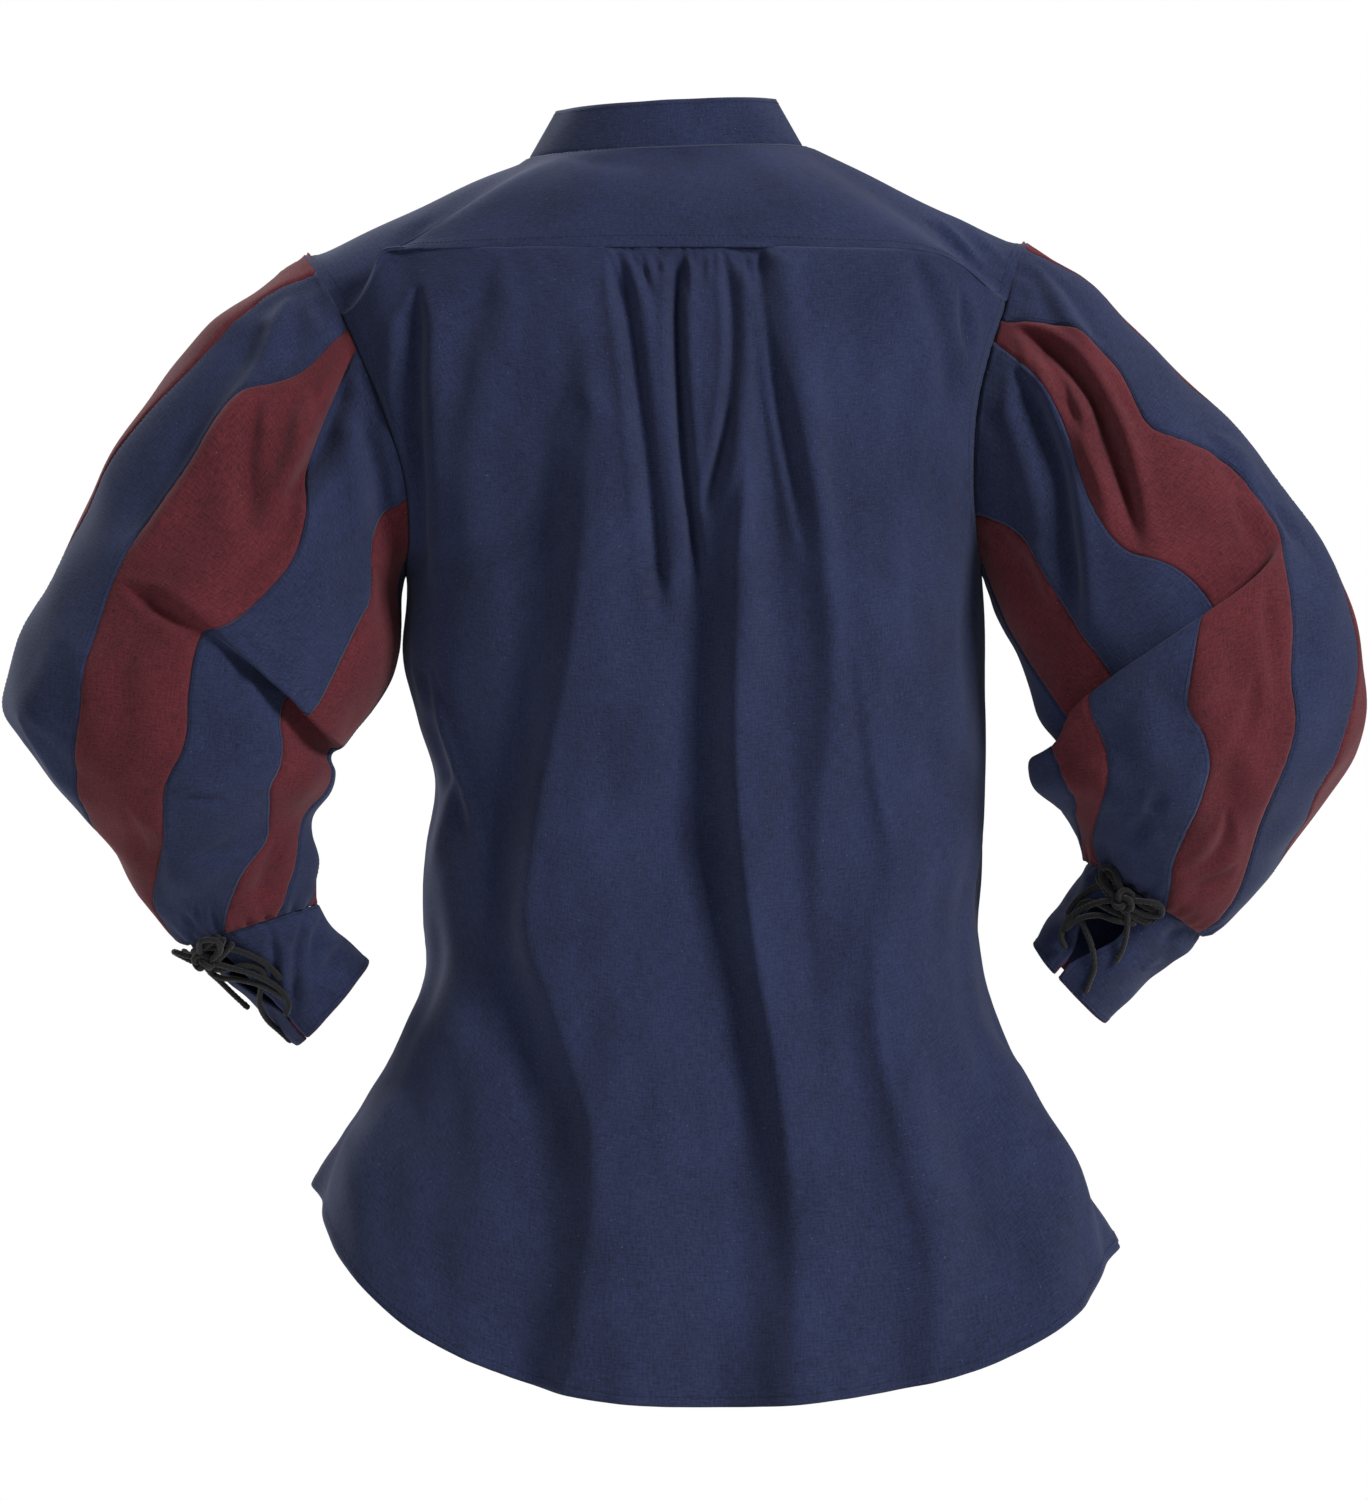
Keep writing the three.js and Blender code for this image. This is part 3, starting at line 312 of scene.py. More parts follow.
# Broad pleats: a row holds the places and heights of nine lines at one height, in turn a hollow and
# a crest from the wearer's left to the right
PLEAT_COLUMNS = "z x1 h1 x2 h2 x3 h3 x4 h4 x5 h5 x6 h6 x7 h7 x8 h8 x9 h9"
BACK_PLEATS = table(PLEAT_COLUMNS, [
    [-110, 85, 0, 56, 0, 0, 0, -47, 0, -52, -2, -63, 3, -105, 0, -115, 0, -167, 0],
    [-145, 86, -2.5, 52, 3, -2, 0, -49, 1, -56, -5, -71, 5, -105, 0, -115, 0, -167, 0],
    [-174, 87, -6, 51, 8, -4, -1, -48, 2, -59, -7, -79, 7, -105, 0, -115, 0, -167, 0],
    [-226, 89, -8, 51, 12, -12, -5, -46, 6, -65, -8.5, -90, 9, -105, 2, -115, 0.5, -167, 0],
    [-277, 92, -9.5, 54, 13, -16, -11, -43, 9, -71, -8, -98, 9, -112, 3.5, -118, 3, -167, 0],
    [-329, 97, -10, 61, 13, -17, -15, -42, 11.5, -75, -6.5, -103, 8.5, -116, 3.5, -121, 4.5, -170, 0],
    [-381, 104, -10, 70, 12.5, -17, -16.5, -42, 12, -76, -5, -102, 7.5, -120, 3, -127, 4.5, -173, 0],
    [-432, 112, -9, 80, 12, -19, -17, -43, 12, -78, -1.5, -97, 4.5, -123, 1.5, -134, 4, -176, 0],
    [-477, 117, -8.5, 86, 11.5, -24, -16.5, -47, 12.5, -82, 0, -94, 3, -129, 0, -144, 5, -180, 0],
    [-516, 120, -8, 88, 11, -29, -15.5, -52, 12.5, -87, 0.5, -94, 2, -123, 0.5, -138, 5, -183, -0.5],
    [-560, 110, -8.5, 75, 11.5, -36, -14.5, -59, 11.5, -90, 1, -97, 1.5, -115, 0, -130, 6, -186, -1.5],
    [-605, 97, -9, 61, 12.5, -43, -12.5, -67, 11, -95, 1.5, -102, 1.5, -118, -1, -136, 6.5, -193, -2.5],
    [-650, 87, -9, 47, 14, -49, -11, -74, 10, -100, 1.5, -108, 1.5, -131, -1.5, -151, 6.5, -201, -3.5],
    [-695, 86, -8.5, 47, 13.5, -50, -9, -79, 8, -106, 1, -115, 1, -142, -2, -163, 6, -211, -4],
    [-747, 92, -8, 54, 13, -47, -7.5, -80, 6, -109, 0.5, -118, 0.5, -148, -2.5, -170, 5.5, -220, -4],
    [-824, 102, -7.5, 69, 11.5, -41, -7, -78, 5, -109, 0, -120, 0, -148, -2.5, -168, 5, -227, -4],
])
FRONT_PLEATS = table(PLEAT_COLUMNS, [
    [-118, 120, 0, 84, 0, 44, 0, 22, 0, -14, 0, -60, 0, -100, 0, -120, 0, -170, 0],
    [-180, 122, -2, 84, 4, 46, -3, 24, 1, -14, 1, -58, 4, -96, -3, -122, 1, -170, 0],
    [-250, 124, -4, 84, 7, 44, -6, 22, 1, -16, 0, -66, 7, -102, -4, -122, 2, -170, -1],
    [-330, 126, -6, 86, 10, 40, -9, 16, 3, -22, -4, -72, 9, -106, -4, -124, 4, -172, -2],
    [-430, 130, -7, 94, 11, 34, -11, 4, 5, -32, -7, -78, 10, -112, -5, -132, 5, -178, -3],
    [-540, 128, -8, 86, 12, 28, -12, -6, 7, -42, -9, -88, 11, -120, -5, -140, 6, -190, -4],
    [-660, 118, -8, 72, 13, 22, -11, -14, 8, -54, -9, -98, 11, -132, -5, -158, 7, -208, -4],
    [-800, 124, -7, 68, 12, 20, -9, -20, 8, -64, -8, -104, 9, -142, -4, -170, 7, -228, -5],
])
YOKE_CREASES = table(CREASE_COLUMNS, [
    [-172, -43, -195, -68, -212, -92, 3, 3, -2],
    [-181, -40, -209, -63, -224, -87, 3, 3, -1.6],
    [-166, -49, -184, -66, -199, -84, 4, 4, 1.8],
    [154, -49, 172, -62, 183, -80, 5, 5, 1.6],
    [73, -7, 40, -17, -18, -13, 5, 5, 1.2],
])
FRONT_CREASES = table(CREASE_COLUMNS, [
    [70, -125, 74, -260, 84, -420, 14, 10, 5],
    [-74, -125, -84, -270, -92, -430, 10, 14, 5],
    [118, -120, 128, -190, 132, -262, 7, 7, 5],
    [-112, -118, -126, -180, -134, -250, 7, 8, 4.5],
    [26, -260, 30, -330, 42, -410, 8, 8, 4],
    [-30, -262, -40, -340, -46, -420, 8, 8, 4],
    [120, -480, 132, -600, 140, -720, 14, 18, 6],
    [-150, -470, -168, -590, -182, -720, 18, 14, 6],
    [160, -300, 150, -380, 128, -460, 6, 6, -4],
    [-186, -300, -176, -380, -150, -450, 7, 6, -4],
    [150, -420, 120, -430, 90, -424, 5, 6, 2.5],
    [-190, -440, -150, -452, -118, -444, 6, 5, 2.5],
])
SLEEVE_CREASES = {
    "left": table(CREASE_COLUMNS, [
        [248, -103, 291, -187, 352, -287, 8, 8, -5],
        [265, -122, 311, -193, 364, -277, 16, 14, 6],
        [207, -130, 226, -198, 258, -250, 6, 8, 12],
        [268, -172, 275, -219, 266, -274, 9, 7, 6.5],
        [239, -164, 240, -200, 245, -238, 8, 8, -5],
        [246, -238, 257, -267, 300, -303, 7, 8, 5],
        [356, -292, 326, -311, 290, -332, 5, 6, 6.5],
        [243, -176, 250, -222, 262, -262, 6, 6, -4],
        [204, -154, 192, -206, 183, -280, 9, 8, 8],
        [265, -339, 256, -351, 247, -364, 8, 8, 5],
        [321, -434, 302, -432, 282, -436, 3, 3, 2.2],
        [317, -472, 295, -466, 280, -454, 5, 4, 3],
        [356, -436, 345, -465, 350, -494, 6, 6, 2.6],
        [338, -448, 335, -480, 342, -506, 5, 5, 2.2],
        [258, -458, 266, -486, 276, -512, 7, 7, 4.6],
        [313, -500, 310, -510, 308, -520, 3, 3, 3],
        [321, -505, 315, -516, 313, -525, 3, 3, 3],
        [302, -500, 297, -513, 296, -526, 3, 3, 3],
        [297, -329, 273, -335, 265, -357, 8, 6, 3],
        [425, -375, 405, -410, 380, -441, 4, 5, -3],
        [396, -329, 389, -381, 392, -413, 14, 14, 4],
        [233, -97, 229, -112, 221, -128, 5, 5, 4],
        [194, -277, 186, -309, 190, -342, 8, 8, 5],
        [350, -335, 357, -387, 362, -426, 14, 12, 3],
        [212, -187, 204, -225, 208, -277, 10, 10, -4],
    ]),
    "right": table(CREASE_COLUMNS, [
        [-234, -91, -227, -105, -218, -119, 5, 5, 5],
        [-240, -78, -263, -119, -285, -161, 6, 5, -5],
        [-226, -122, -276, -176, -302, -286, 8, 5, 12],
        [-240, -136, -258, -176, -268, -214, 5, 5, 6],
        [-256, -154, -267, -180, -272, -209, 5, 5, -3],
        [-285, -174, -295, -206, -307, -242, 10, 10, -4],
        [-351, -193, -374, -225, -395, -271, 5, 6, -4],
        [-363, -230, -382, -248, -393, -271, 5, 5, -4],
        [-390, -240, -399, -256, -404, -276, 3, 4, 2.5],
        [-224, -150, -250, -232, -258, -340, 8, 7, 10],
        [-254, -176, -276, -222, -290, -262, 5, 6, -4],
        [-206, -264, -223, -303, -241, -342, 10, 8, -4],
        [-214, -251, -238, -303, -252, -335, 8, 8, 5],
        [-374, -345, -371, -376, -360, -406, 5, 5, 2.4],
        [-377, -292, -383, -335, -394, -382, 5, 6, 2.8],
        [-358, -436, -352, -470, -318, -486, 5, 6, 4],
        [-368, -474, -348, -488, -316, -495, 4, 5, 3],
        [-309, -440, -303, -452, -300, -465, 5, 5, 3],
        [-305, -441, -313, -435, -321, -428, 5, 5, 3],
        [-413, -225, -429, -277, -435, -316, 12, 12, -3],
        [-406, -316, -404, -355, -400, -394, 12, 14, 3],
        [-362, -394, -358, -426, -365, -458, 10, 10, 3],
        [-303, -361, -309, -394, -307, -426, 14, 14, -3],
        [-351, -329, -342, -361, -351, -394, 12, 12, -3.5],
    ]),
}
CUFF_CREASES = {
    "left": table(CREASE_COLUMNS, [
        [243, -508, 249, -546, 254, -582, 4, 4, 5],
        [264, -516, 262, -545, 268, -572, 4, 4, 4],
        [230, -508, 238, -536, 240, -566, 4, 5, 4],
        [212, -522, 226, -540, 236, -558, 4, 4, 4],
        [224, -556, 232, -563, 240, -568, 4, 4, 2],
        [272, -533, 266, -545, 265, -556, 3, 3, 1.5],
    ]),
    "right": table(CREASE_COLUMNS, [
        [-307, -543, -316, -541, -327, -539, 2.5, 3, -2],
        [-342, -514, -329, -522, -323, -532, 4, 4, 2.5],
        [-266, -493, -259, -506, -251, -519, 4, 4, 2.5],
        [-273, -478, -267, -489, -263, -499, 3, 3, 2],
    ]),
}
# Folds on the front half of the sleeves: from one ring and angle to another
SLEEVE_FRONT_FOLDS = {
    "left": table("ring angle to_ring to_angle wide deep", [
        [2.5, 300, 6.2, 290, 13, 8], [2.0, 240, 5.6, 232, 13, 8], [1.2, 268, 4.4, 262, 9, 6],
        [6.6, 200, 7.2, 268, 10, 9], [7.2, 268, 8.4, 316, 9, 6], [8.4, 310, 12.4, 290, 11, 6],
        [9.0, 240, 12.4, 222, 10, 6], [4.2, 318, 6.8, 330, 12, -5], [3.2, 214, 5.8, 250, 11, -4],
        [10.2, 262, 12.8, 258, 7, 4], [8.2, 218, 9.8, 262, 9, 5],
    ]),
    "right": table("ring angle to_ring to_angle wide deep", [
        [2.5, 300, 6.2, 290, 13, 8], [2.0, 240, 5.6, 232, 13, 8], [1.4, 270, 4.0, 258, 9, 6],
        [6.8, 200, 7.4, 268, 10, 9], [7.3, 266, 8.6, 312, 9, 6], [8.2, 310, 11.6, 290, 11, 6],
        [8.8, 240, 11.6, 222, 10, 6], [4.0, 322, 6.6, 332, 12, -5], [3.0, 216, 5.6, 252, 11, -4],
        [9.8, 262, 12.0, 256, 7, 4], [8.0, 220, 9.4, 262, 9, 5],
    ]),
}
RING_STEP, DEGREE_STEP = 34.0, 1.6    # mm along and round a sleeve for one ring and one degree
LAST_RING_STEP = 26.0                 # mm between the last rings
CUFF_ROUND, ARMHOLE_ROUND = 276, 520  # mm round the sleeve at its two gathered ends

# Where the upper sleeve rolls over the lower one at the elbow: ring and strength by angle
ELBOW_ROLL = {
    "left": table("angle ring strength", [
        [50, 4.65, 0], [61, 4.70, 0.1], [86, 4.75, 0.35], [107, 5.05, 0.75], [126, 5.4, 1],
        [147, 6.05, 0.9], [173, 6.75, 0.3], [196, 6.9, 0.15], [230, 6.9, 0.1], [270, 6.9, 0],
    ]),
    "right": table("angle ring strength", [
        [30, 5.1, 0], [44, 5.34, 0.45], [69, 5.66, 0.9], [87, 5.76, 1], [104, 5.85, 1], [121, 5.99, 1],
        [139, 6.31, 1], [160, 7.1, 0.6], [190, 7.4, 0.4], [230, 7.4, 0.2], [270, 7.2, 0],
    ]),
}
ROLL_PULL = 1.8                                       # share
ROLL_DEEP = {"left": 11.0, "right": 15.0}             # mm
ROLL_WIDTH = {"left": 0.55, "right": 0.68}            # rings
ROLL_WAY = {"left": 1, "right": -1}                   # 1: the upper side lies over the lower one
# Where a sleeve is fuller or slimmer than its plain form: at a ring and an angle, over rings and degrees
FULLNESS = {
    "left": table("ring angle rings degrees high", [
        [3.0, 5, 2.4, 45, 10], [12, -5, 1.6, 45, -7], [7, 175, 1.2, 30, -3],
    ]),
    "right": table("ring angle rings degrees high", [
        [5.2, 5, 2.0, 45, 5], [8.6, 172, 0.9, 30, 9], [7.0, 172, 0.7, 30, -7], [2.5, 20, 1.6, 40, -3],
    ]),
}


# Torso

def torso_point(angle, z):
    """Torso section: cosine across and sine in depth, both swollen a little at the corners."""
    c, s = np.cos(radians(angle)), np.sin(radians(angle))
    left, right = follow(TORSO, "left_reach", "z", z), follow(TORSO, "right_reach", "z", z)
    depth = np.where(s >= 0, follow(TORSO, "back", "z", z), follow(TORSO, "front", "z", z))
    x = mix(right, left, 0.5) + 0.5 * (left - right) * c * (1 + SQUARENESS * s * s)
    return stack(x, depth * s * (1 + SQUARENESS * c * c), z)


def torso_axis(z):
    middle = 0.5 * (follow(TORSO, "left_reach", "z", z) + follow(TORSO, "right_reach", "z", z))
    return stack(middle, 0 * middle, z)


def torso_normal(angle, z):
    return normal_of(torso_point, angle, z, 0.5, 1.0, torso_point(angle, z) - torso_axis(z))


def edge_angle(side, z):
    """Angle of a body panel's armhole edge from its own side: the section's x solved for the angle."""
    z = np.asarray(z, float)
    left, right = follow(TORSO, "left_reach", "z", z), follow(TORSO, "right_reach", "z", z)
    seam = follow(TORSO, side + "_seam", "z", z)
    ratio = np.abs(seam - 0.5 * (left + right)) / (0.5 * (left - right))
    c = np.minimum(ratio, 1)
    for _ in range(12):
        c = np.minimum(ratio / (1 + SQUARENESS * (1 - c * c)), 1)
    inside = (z < ARMHOLE[side]["top"]) & (z > ARMHOLE[side]["low"])
    return np.where(inside, np.degrees(np.arccos(c)), 0)


def panel_angle(share, z):
    left, right = edge_angle("left", z), edge_angle("right", z)
    return left + (180 - left - right) * share


def yoke_seam_z(share):
    share = np.asarray(share, float)
    corner = np.where(share < 0.5, ARMHOLE["left"]["back_corner"], ARMHOLE["right"]["back_corner"])
    return mix(YOKE_SEAM_Z, corner, smooth((np.abs(2 * share - 1) - 0.5) / 0.5))


def neck_point(angle):
    c, s = np.cos(radians(angle)), np.sin(radians(angle))
    y = np.where(s > 0, NECK["back"], NECK["front"]) * s
    drop = np.where(s > 0, 3 * s, NECK["front_drop"] * s * s)
    return stack(NECK["middle"] + NECK["half"] * c, y, -1 - NECK["tilt"] * c - drop)


def front_base_z(share):
    corners = mix(ARMHOLE["left"]["front_corner"], ARMHOLE["right"]["front_corner"], share)
    return corners - 48 * np.sin(math.pi * share)


def chord_end(neck_angle):
    """Torso angle and height where the chord from a neck angle ends: on the left armhole, the yoke
    seam, the right armhole and the upper chest in turn."""
    turn = (np.asarray(neck_angle, float) + FRONT_CORNER + 360) % 360 - FRONT_CORNER
    left, right = ARMHOLE["left"], ARMHOLE["right"]
    back_share = np.clip((turn - BACK_CORNER) / (180 - 2 * BACK_CORNER), 0, 1)
    chest_share = np.clip((360 - FRONT_CORNER - turn) / (180 - 2 * FRONT_CORNER), 0, 1)
    zones = [turn <= limit for limit in (0, BACK_CORNER, 180 - BACK_CORNER, 180, 180 + FRONT_CORNER)]
    z = np.select(zones, [
        mix(left["top"], left["front_corner"], -turn / FRONT_CORNER),
        mix(left["top"], left["back_corner"], turn / BACK_CORNER),
        yoke_seam_z(back_share),
        mix(right["top"], right["back_corner"], (180 - turn) / BACK_CORNER),
        mix(right["top"], right["front_corner"], (turn - 180) / FRONT_CORNER),
    ], front_base_z(chest_share))
    left_edge, right_edge = edge_angle("left", z), edge_angle("right", z)
    angle = np.select(zones, [
        -left_edge, left_edge, panel_angle(back_share, z), 180 - right_edge, 180 + right_edge,
    ], -panel_angle(chest_share, z))
    return angle, z


def shoulder_point(neck_angle, t):
    """Chord from the neck to its end, lifted square to itself by half a sine wave."""
    neck = neck_point(neck_angle)
    angle, z = chord_end(neck_angle)
    chord = torso_point(angle, z) - neck
    flat = np.hypot(chord[..., 0], chord[..., 1])
    out = unit(stack(-chord[..., 0] * chord[..., 2] / flat, -chord[..., 1] * chord[..., 2] / flat, flat))
    s = np.sin(radians(neck_angle))
    bulge = mix(BULGE["side"], np.where(s > 0, BULGE["back"], BULGE["front"]), s * s)
    rise = bulge * np.sin(math.pi * np.clip(t, 0, 1))
    return neck + chord * np.asarray(t)[..., None] + out * np.asarray(rise)[..., None]


def shoulder_normal(neck_angle, t):
    up = np.array([0.0, 0.0, 1.0])
    return normal_of(shoulder_point, neck_angle, np.clip(t, 0.02, 0.98), 0.6, 0.02, up)


# Creases and gathers

def trough(across, lips):
    """A soft trough between two low lips, at a distance given in its own half widths."""
    return np.exp(-(across ** 2)) - lips * np.exp(-(((across - 2) / 0.9) ** 2))


def crease_depth(creases, x, z):
    """Depth of all creases at places seen from behind: each is a trough along its bow. It starts
    narrow and shallow, widens, and fades towards its end."""
    depth = np.zeros(np.shape(x))
    t = np.linspace(0, 1, 17)
    for p in each_row(creases):
        ax, az = 2 * (p["x1"] + p["x3"] - 2 * p["x2"]), 2 * (p["z1"] + p["z3"] - 2 * p["z2"])
        line_x = p["x1"] + (p["x3"] - p["x1"]) * t + ax * t * (t - 1)
        line_z = p["z1"] + (p["z3"] - p["z1"]) * t + az * t * (t - 1)
        reach = 3.4 * max(p["right"], p["left"])
        near = ((x > line_x.min() - reach) & (x < line_x.max() + reach)
                & (z > line_z.min() - reach) & (z < line_z.max() + reach))
        if not near.any():
            continue
        px, pz = x[near], z[near]
        best = np.full(px.shape, np.inf)
        place, hand = np.zeros(px.shape), np.zeros(px.shape)
        for i in range(len(t) - 1):
            dx, dz = line_x[i + 1] - line_x[i], line_z[i + 1] - line_z[i]
            share = np.clip(((px - line_x[i]) * dx + (pz - line_z[i]) * dz) / (dx * dx + dz * dz), 0, 1)
            off = np.hypot(px - line_x[i] - share * dx, pz - line_z[i] - share * dz)
            closer = off < best
            best = np.where(closer, off, best)
            place = np.where(closer, (i + share) / (len(t) - 1), place)
            hand = np.where(closer, dx * (pz - line_z[i]) - dz * (px - line_x[i]), hand)
        length = float(np.sum(np.hypot(np.diff(line_x), np.diff(line_z))))
        done, left_over = place * length, (1 - place) * length
        grown = smooth(done / min(34, 0.4 * length))
        wide = np.where(hand > 0, p["right"], p["left"]) * mix(0.38, 1, grown)
        fade = smooth(done / min(0.3 * length, 5)) * smooth(left_over / min(0.5 * length, 42))
        depth[near] += p["deep"] * trough(best / wide, 0.28) * fade * mix(0.3, 1, grown)
    return depth


def pleat_height(pleats, x, z):
    """Height of broad pleats: an ease from each line to the next one, nearly straight with soft ends
    and steepest below each crest on its left, and out to nothing beyond the outer lines."""
    places = [follow(pleats, f"x{n}", "z", z) for n in range(1, 10)]
    heights = [follow(pleats, f"h{n}", "z", z) for n in range(1, 10)]
    height = np.where(x >= places[0], heights[0] * (1 - smooth((x - places[0]) / 45)), 0)
    height = np.where(x <= places[-1], heights[-1] * (1 - smooth((places[-1] - x) / 45)), height)
    for n in range(8):
        t = np.clip((places[n] - x) / (places[n] - places[n + 1]), 0, 1)
        between = (x < places[n]) & (x > places[n + 1])
        ease = mix(t, smooth(t), 0.6)
        if n % 2 == 0:
            ease = mix(ease, smooth(t ** 1.7), 0.6)
        height = np.where(between, mix(heights[n], heights[n + 1], ease), height)
    return height


def unevenness(points, seed, size, wave):
    """A slow, soft unevenness of the cloth: the sum of twelve sine waves in random directions."""
    random = np.random.default_rng(seed)
    total = np.zeros(points.shape[:-1])
    for _ in range(12):
        way = unit(random.normal(size=3)) / (wave * random.uniform(0.6, 1.6))
        total += np.sin(2 * math.pi * points @ way + random.uniform(0, 6.28))
    return total * size / math.sqrt(6)


def gather_depth(distance, place, spacing, deep, length, seed):
    """Small pleats that run in from a seam: each has its own place, depth and length."""
    random = np.random.default_rng(seed)
    count = int(math.ceil(float(np.max(place)) / spacing)) + 1
    depth = np.zeros(np.broadcast(distance, place).shape)
    for n in range(count):
        middle = (n + random.uniform(-0.28, 0.28)) * spacing
        own_deep, own_length = deep * random.uniform(0.35, 1.25), length * random.uniform(0.4, 1.5)
        lean = random.uniform(-0.10, 0.10)
        wide = spacing * random.uniform(0.22, 0.34)
        fade = smooth(distance / 1.6) * (1 - smooth(distance / own_length))
        spread = wide * (1 + distance / own_length)
        depth += own_deep * fade * bell(place - middle - lean * distance, spread)
    return depth


def seam_dip(distance, place, seed):
    """The dent along a seam: a narrow bell, and a little puckering that dies out beside it."""
    ripple = np.sin(place / 1.75 + 2.2 * np.sin(place / 13 + seed))
    ripple = ripple * (0.6 + 0.4 * np.sin(place / 31 + 2 * seed))
    return 0.95 * bell(distance, 1.9) + 0.22 * ripple * np.exp(-distance / 4.5)


# Sleeves

def armhole_point(side, angle):
    top, low, sign = (ARMHOLE[side][key] for key in ("top", "low", "sign"))
    z = 0.5 * (top + low) + 0.5 * (top - low) * np.cos(radians(angle))
    edge = edge_angle(side, z) * np.where(np.sin(radians(angle)) >= 0, 1, -1)
    return torso_point(edge if sign > 0 else 180 - edge, z)


SECTION_SIZES = ("outer_x", "outer_z", "inner_x", "inner_z", "mid", "deep")


def section_point(sizes, angle):
    """A sleeve section: from its outer to its inner point by the cosine, and in depth by the sine."""
    outer = 0.5 * (1 + np.cos(radians(angle)))
    return stack(
        mix(sizes["inner_x"], sizes["outer_x"], outer),
        sizes["mid"] + sizes["deep"] * np.sin(radians(angle)),
        mix(sizes["inner_z"], sizes["outer_z"], outer))


def ring_point(side, ring, angle):
    rings = SLEEVE_RINGS[side]
    return section_point({name: follow(rings, name, "number", ring) for name in SECTION_SIZES}, angle)


def smooth_sleeve_point(side, ring, angle):
    """The sleeve before its folds. The first two rings run over into the armhole line."""
    hold = (1 - np.clip(ring / 2, 0, 1)) ** 2
    off = armhole_point(side, angle) - ring_point(side, 0 * ring, angle)
    return ring_point(side, ring, angle) + off * np.asarray(hold)[..., None]


def sleeve_normal(side, ring, angle):
    inside = np.clip(ring, 0.05, LAST_RING[side] - 0.05)
    middle = 0.5 * (ring_point(side, ring, 0 * angle) + ring_point(side, ring, 0 * angle + 180))
    hint = smooth_sleeve_point(side, ring, angle) - middle
    return normal_of(lambda u, v: smooth_sleeve_point(side, u, v), inside, angle, 0.05, 1.0, hint)


def seam_angles(side, ring):
    """The nine seams round a sleeve, the last one being the first again."""
    rings = SLEEVE_RINGS[side]
    back = [follow(rings, name, "number", ring) for name in "abcde"]
    left = back[0] + 360 - back[4]
    front = [back[4] + left * mix(at_armhole, below, smooth(ring / 3))
             for at_armhole, below in zip(ARMHOLE_SHARES, SLEEVE_SHARES)]
    return np.array([*back, *front, back[0] + 360])


def front_fold_depth(side, ring, angle):
    """Soft troughs along straight lines on the sleeve laid flat, faded at both their ends."""
    depth = np.zeros(np.broadcast(ring, angle).shape)
    for fold in each_row(SLEEVE_FRONT_FOLDS[side]):
        dr = (fold["to_ring"] - fold["ring"]) * RING_STEP
        da = (fold["to_angle"] - fold["angle"]) * DEGREE_STEP
        pr = (ring - fold["ring"]) * RING_STEP
        pa = ((angle - fold["angle"] + 540) % 360 - 180) * DEGREE_STEP
        t = np.clip((pr * dr + pa * da) / (dr * dr + da * da), 0, 1)
        across = np.hypot(pr - t * dr, pa - t * da) / fold["wide"]
        depth += fold["deep"] * smooth(0.25 + 2.2 * np.minimum(t, 1 - t)) * trough(across, 0.25)
    return depth


def elbow_roll(side, ring, angle):
    """The S-shaped roll at the elbow: rings are pulled over each other while the upper side is
    lifted and the lower one tucked in. Gives the moved ring and the lift."""
    turn = np.mod(angle, 360)
    line = follow(ELBOW_ROLL[side], "ring", "angle", turn)
    strength = np.where((turn > ELBOW_ROLL[side]["angle"][0]) & (turn < ELBOW_ROLL[side]["angle"][-1]),
                        follow(ELBOW_ROLL[side], "strength", "angle", turn), 0)
    q = (ring - line) / ROLL_WIDTH[side]
    swell = np.exp(-q * q)
    moved = ring - ROLL_PULL * strength * q * ROLL_WIDTH[side] * swell
    return moved, -2 * ROLL_WAY[side] * ROLL_DEEP[side] * strength * q * swell


def fullness(side, ring, angle):
    """Soft swells of a sleeve, each a bell in both directions."""
    high = 0 * ring * angle
    for swell in each_row(FULLNESS[side]):
        turn = (angle - swell["angle"] + 540) % 360 - 180
        along = bell(ring - swell["ring"], swell["rings"])
        high = high + swell["high"] * along * bell(turn, swell["degrees"])
    return high


def sleeve_point(side, ring, angle, fold_scale=1.0):
    """The sleeve with its folds: the plain surface, moved in along its normal by the depth of the
    roll, the creases, the pleats and the soft unevenness."""
    last = LAST_RING[side]
    moved, lift = elbow_roll(side, ring, angle)
    base = smooth_sleeve_point(side, moved, angle)
    normal = sleeve_normal(side, moved, angle)
    behind = smooth(np.sin(radians(angle)) * 2.6 + 0.1)
    depth = crease_depth(SLEEVE_CREASES[side], base[..., 0], base[..., 2]) * behind
    depth = depth + front_fold_depth(side, ring, angle) - lift + unevenness(base, 11, 1.0, 64)
    depth = depth - fullness(side, ring, angle)
    inside = np.maximum(0, -np.cos(radians(angle)))
    depth = depth * (1 - inside ** 6 * (1 - smooth((ring - 4) / 2)))
    depth = depth * smooth(ring / 0.5) * smooth((last - ring) / 0.45)
    to_cuff = (last - ring) * LAST_RING_STEP
    around = np.mod(angle, 360) / 360
    pleats = gather_depth(to_cuff, around * CUFF_ROUND, 10.6, 3.4, 30.0, 5 if side == "left" else 6)
    swell = 3.2 * smooth(to_cuff / 3) * (1 - smooth((to_cuff - 6) / 26))
    caps = gather_depth(ring * RING_STEP, around * ARMHOLE_ROUND, 17.0, 1.6, 24.0, 7)
    depth = depth * fold_scale + pleats - swell + caps
    return base - normal * depth[..., None], normal


# Meshes

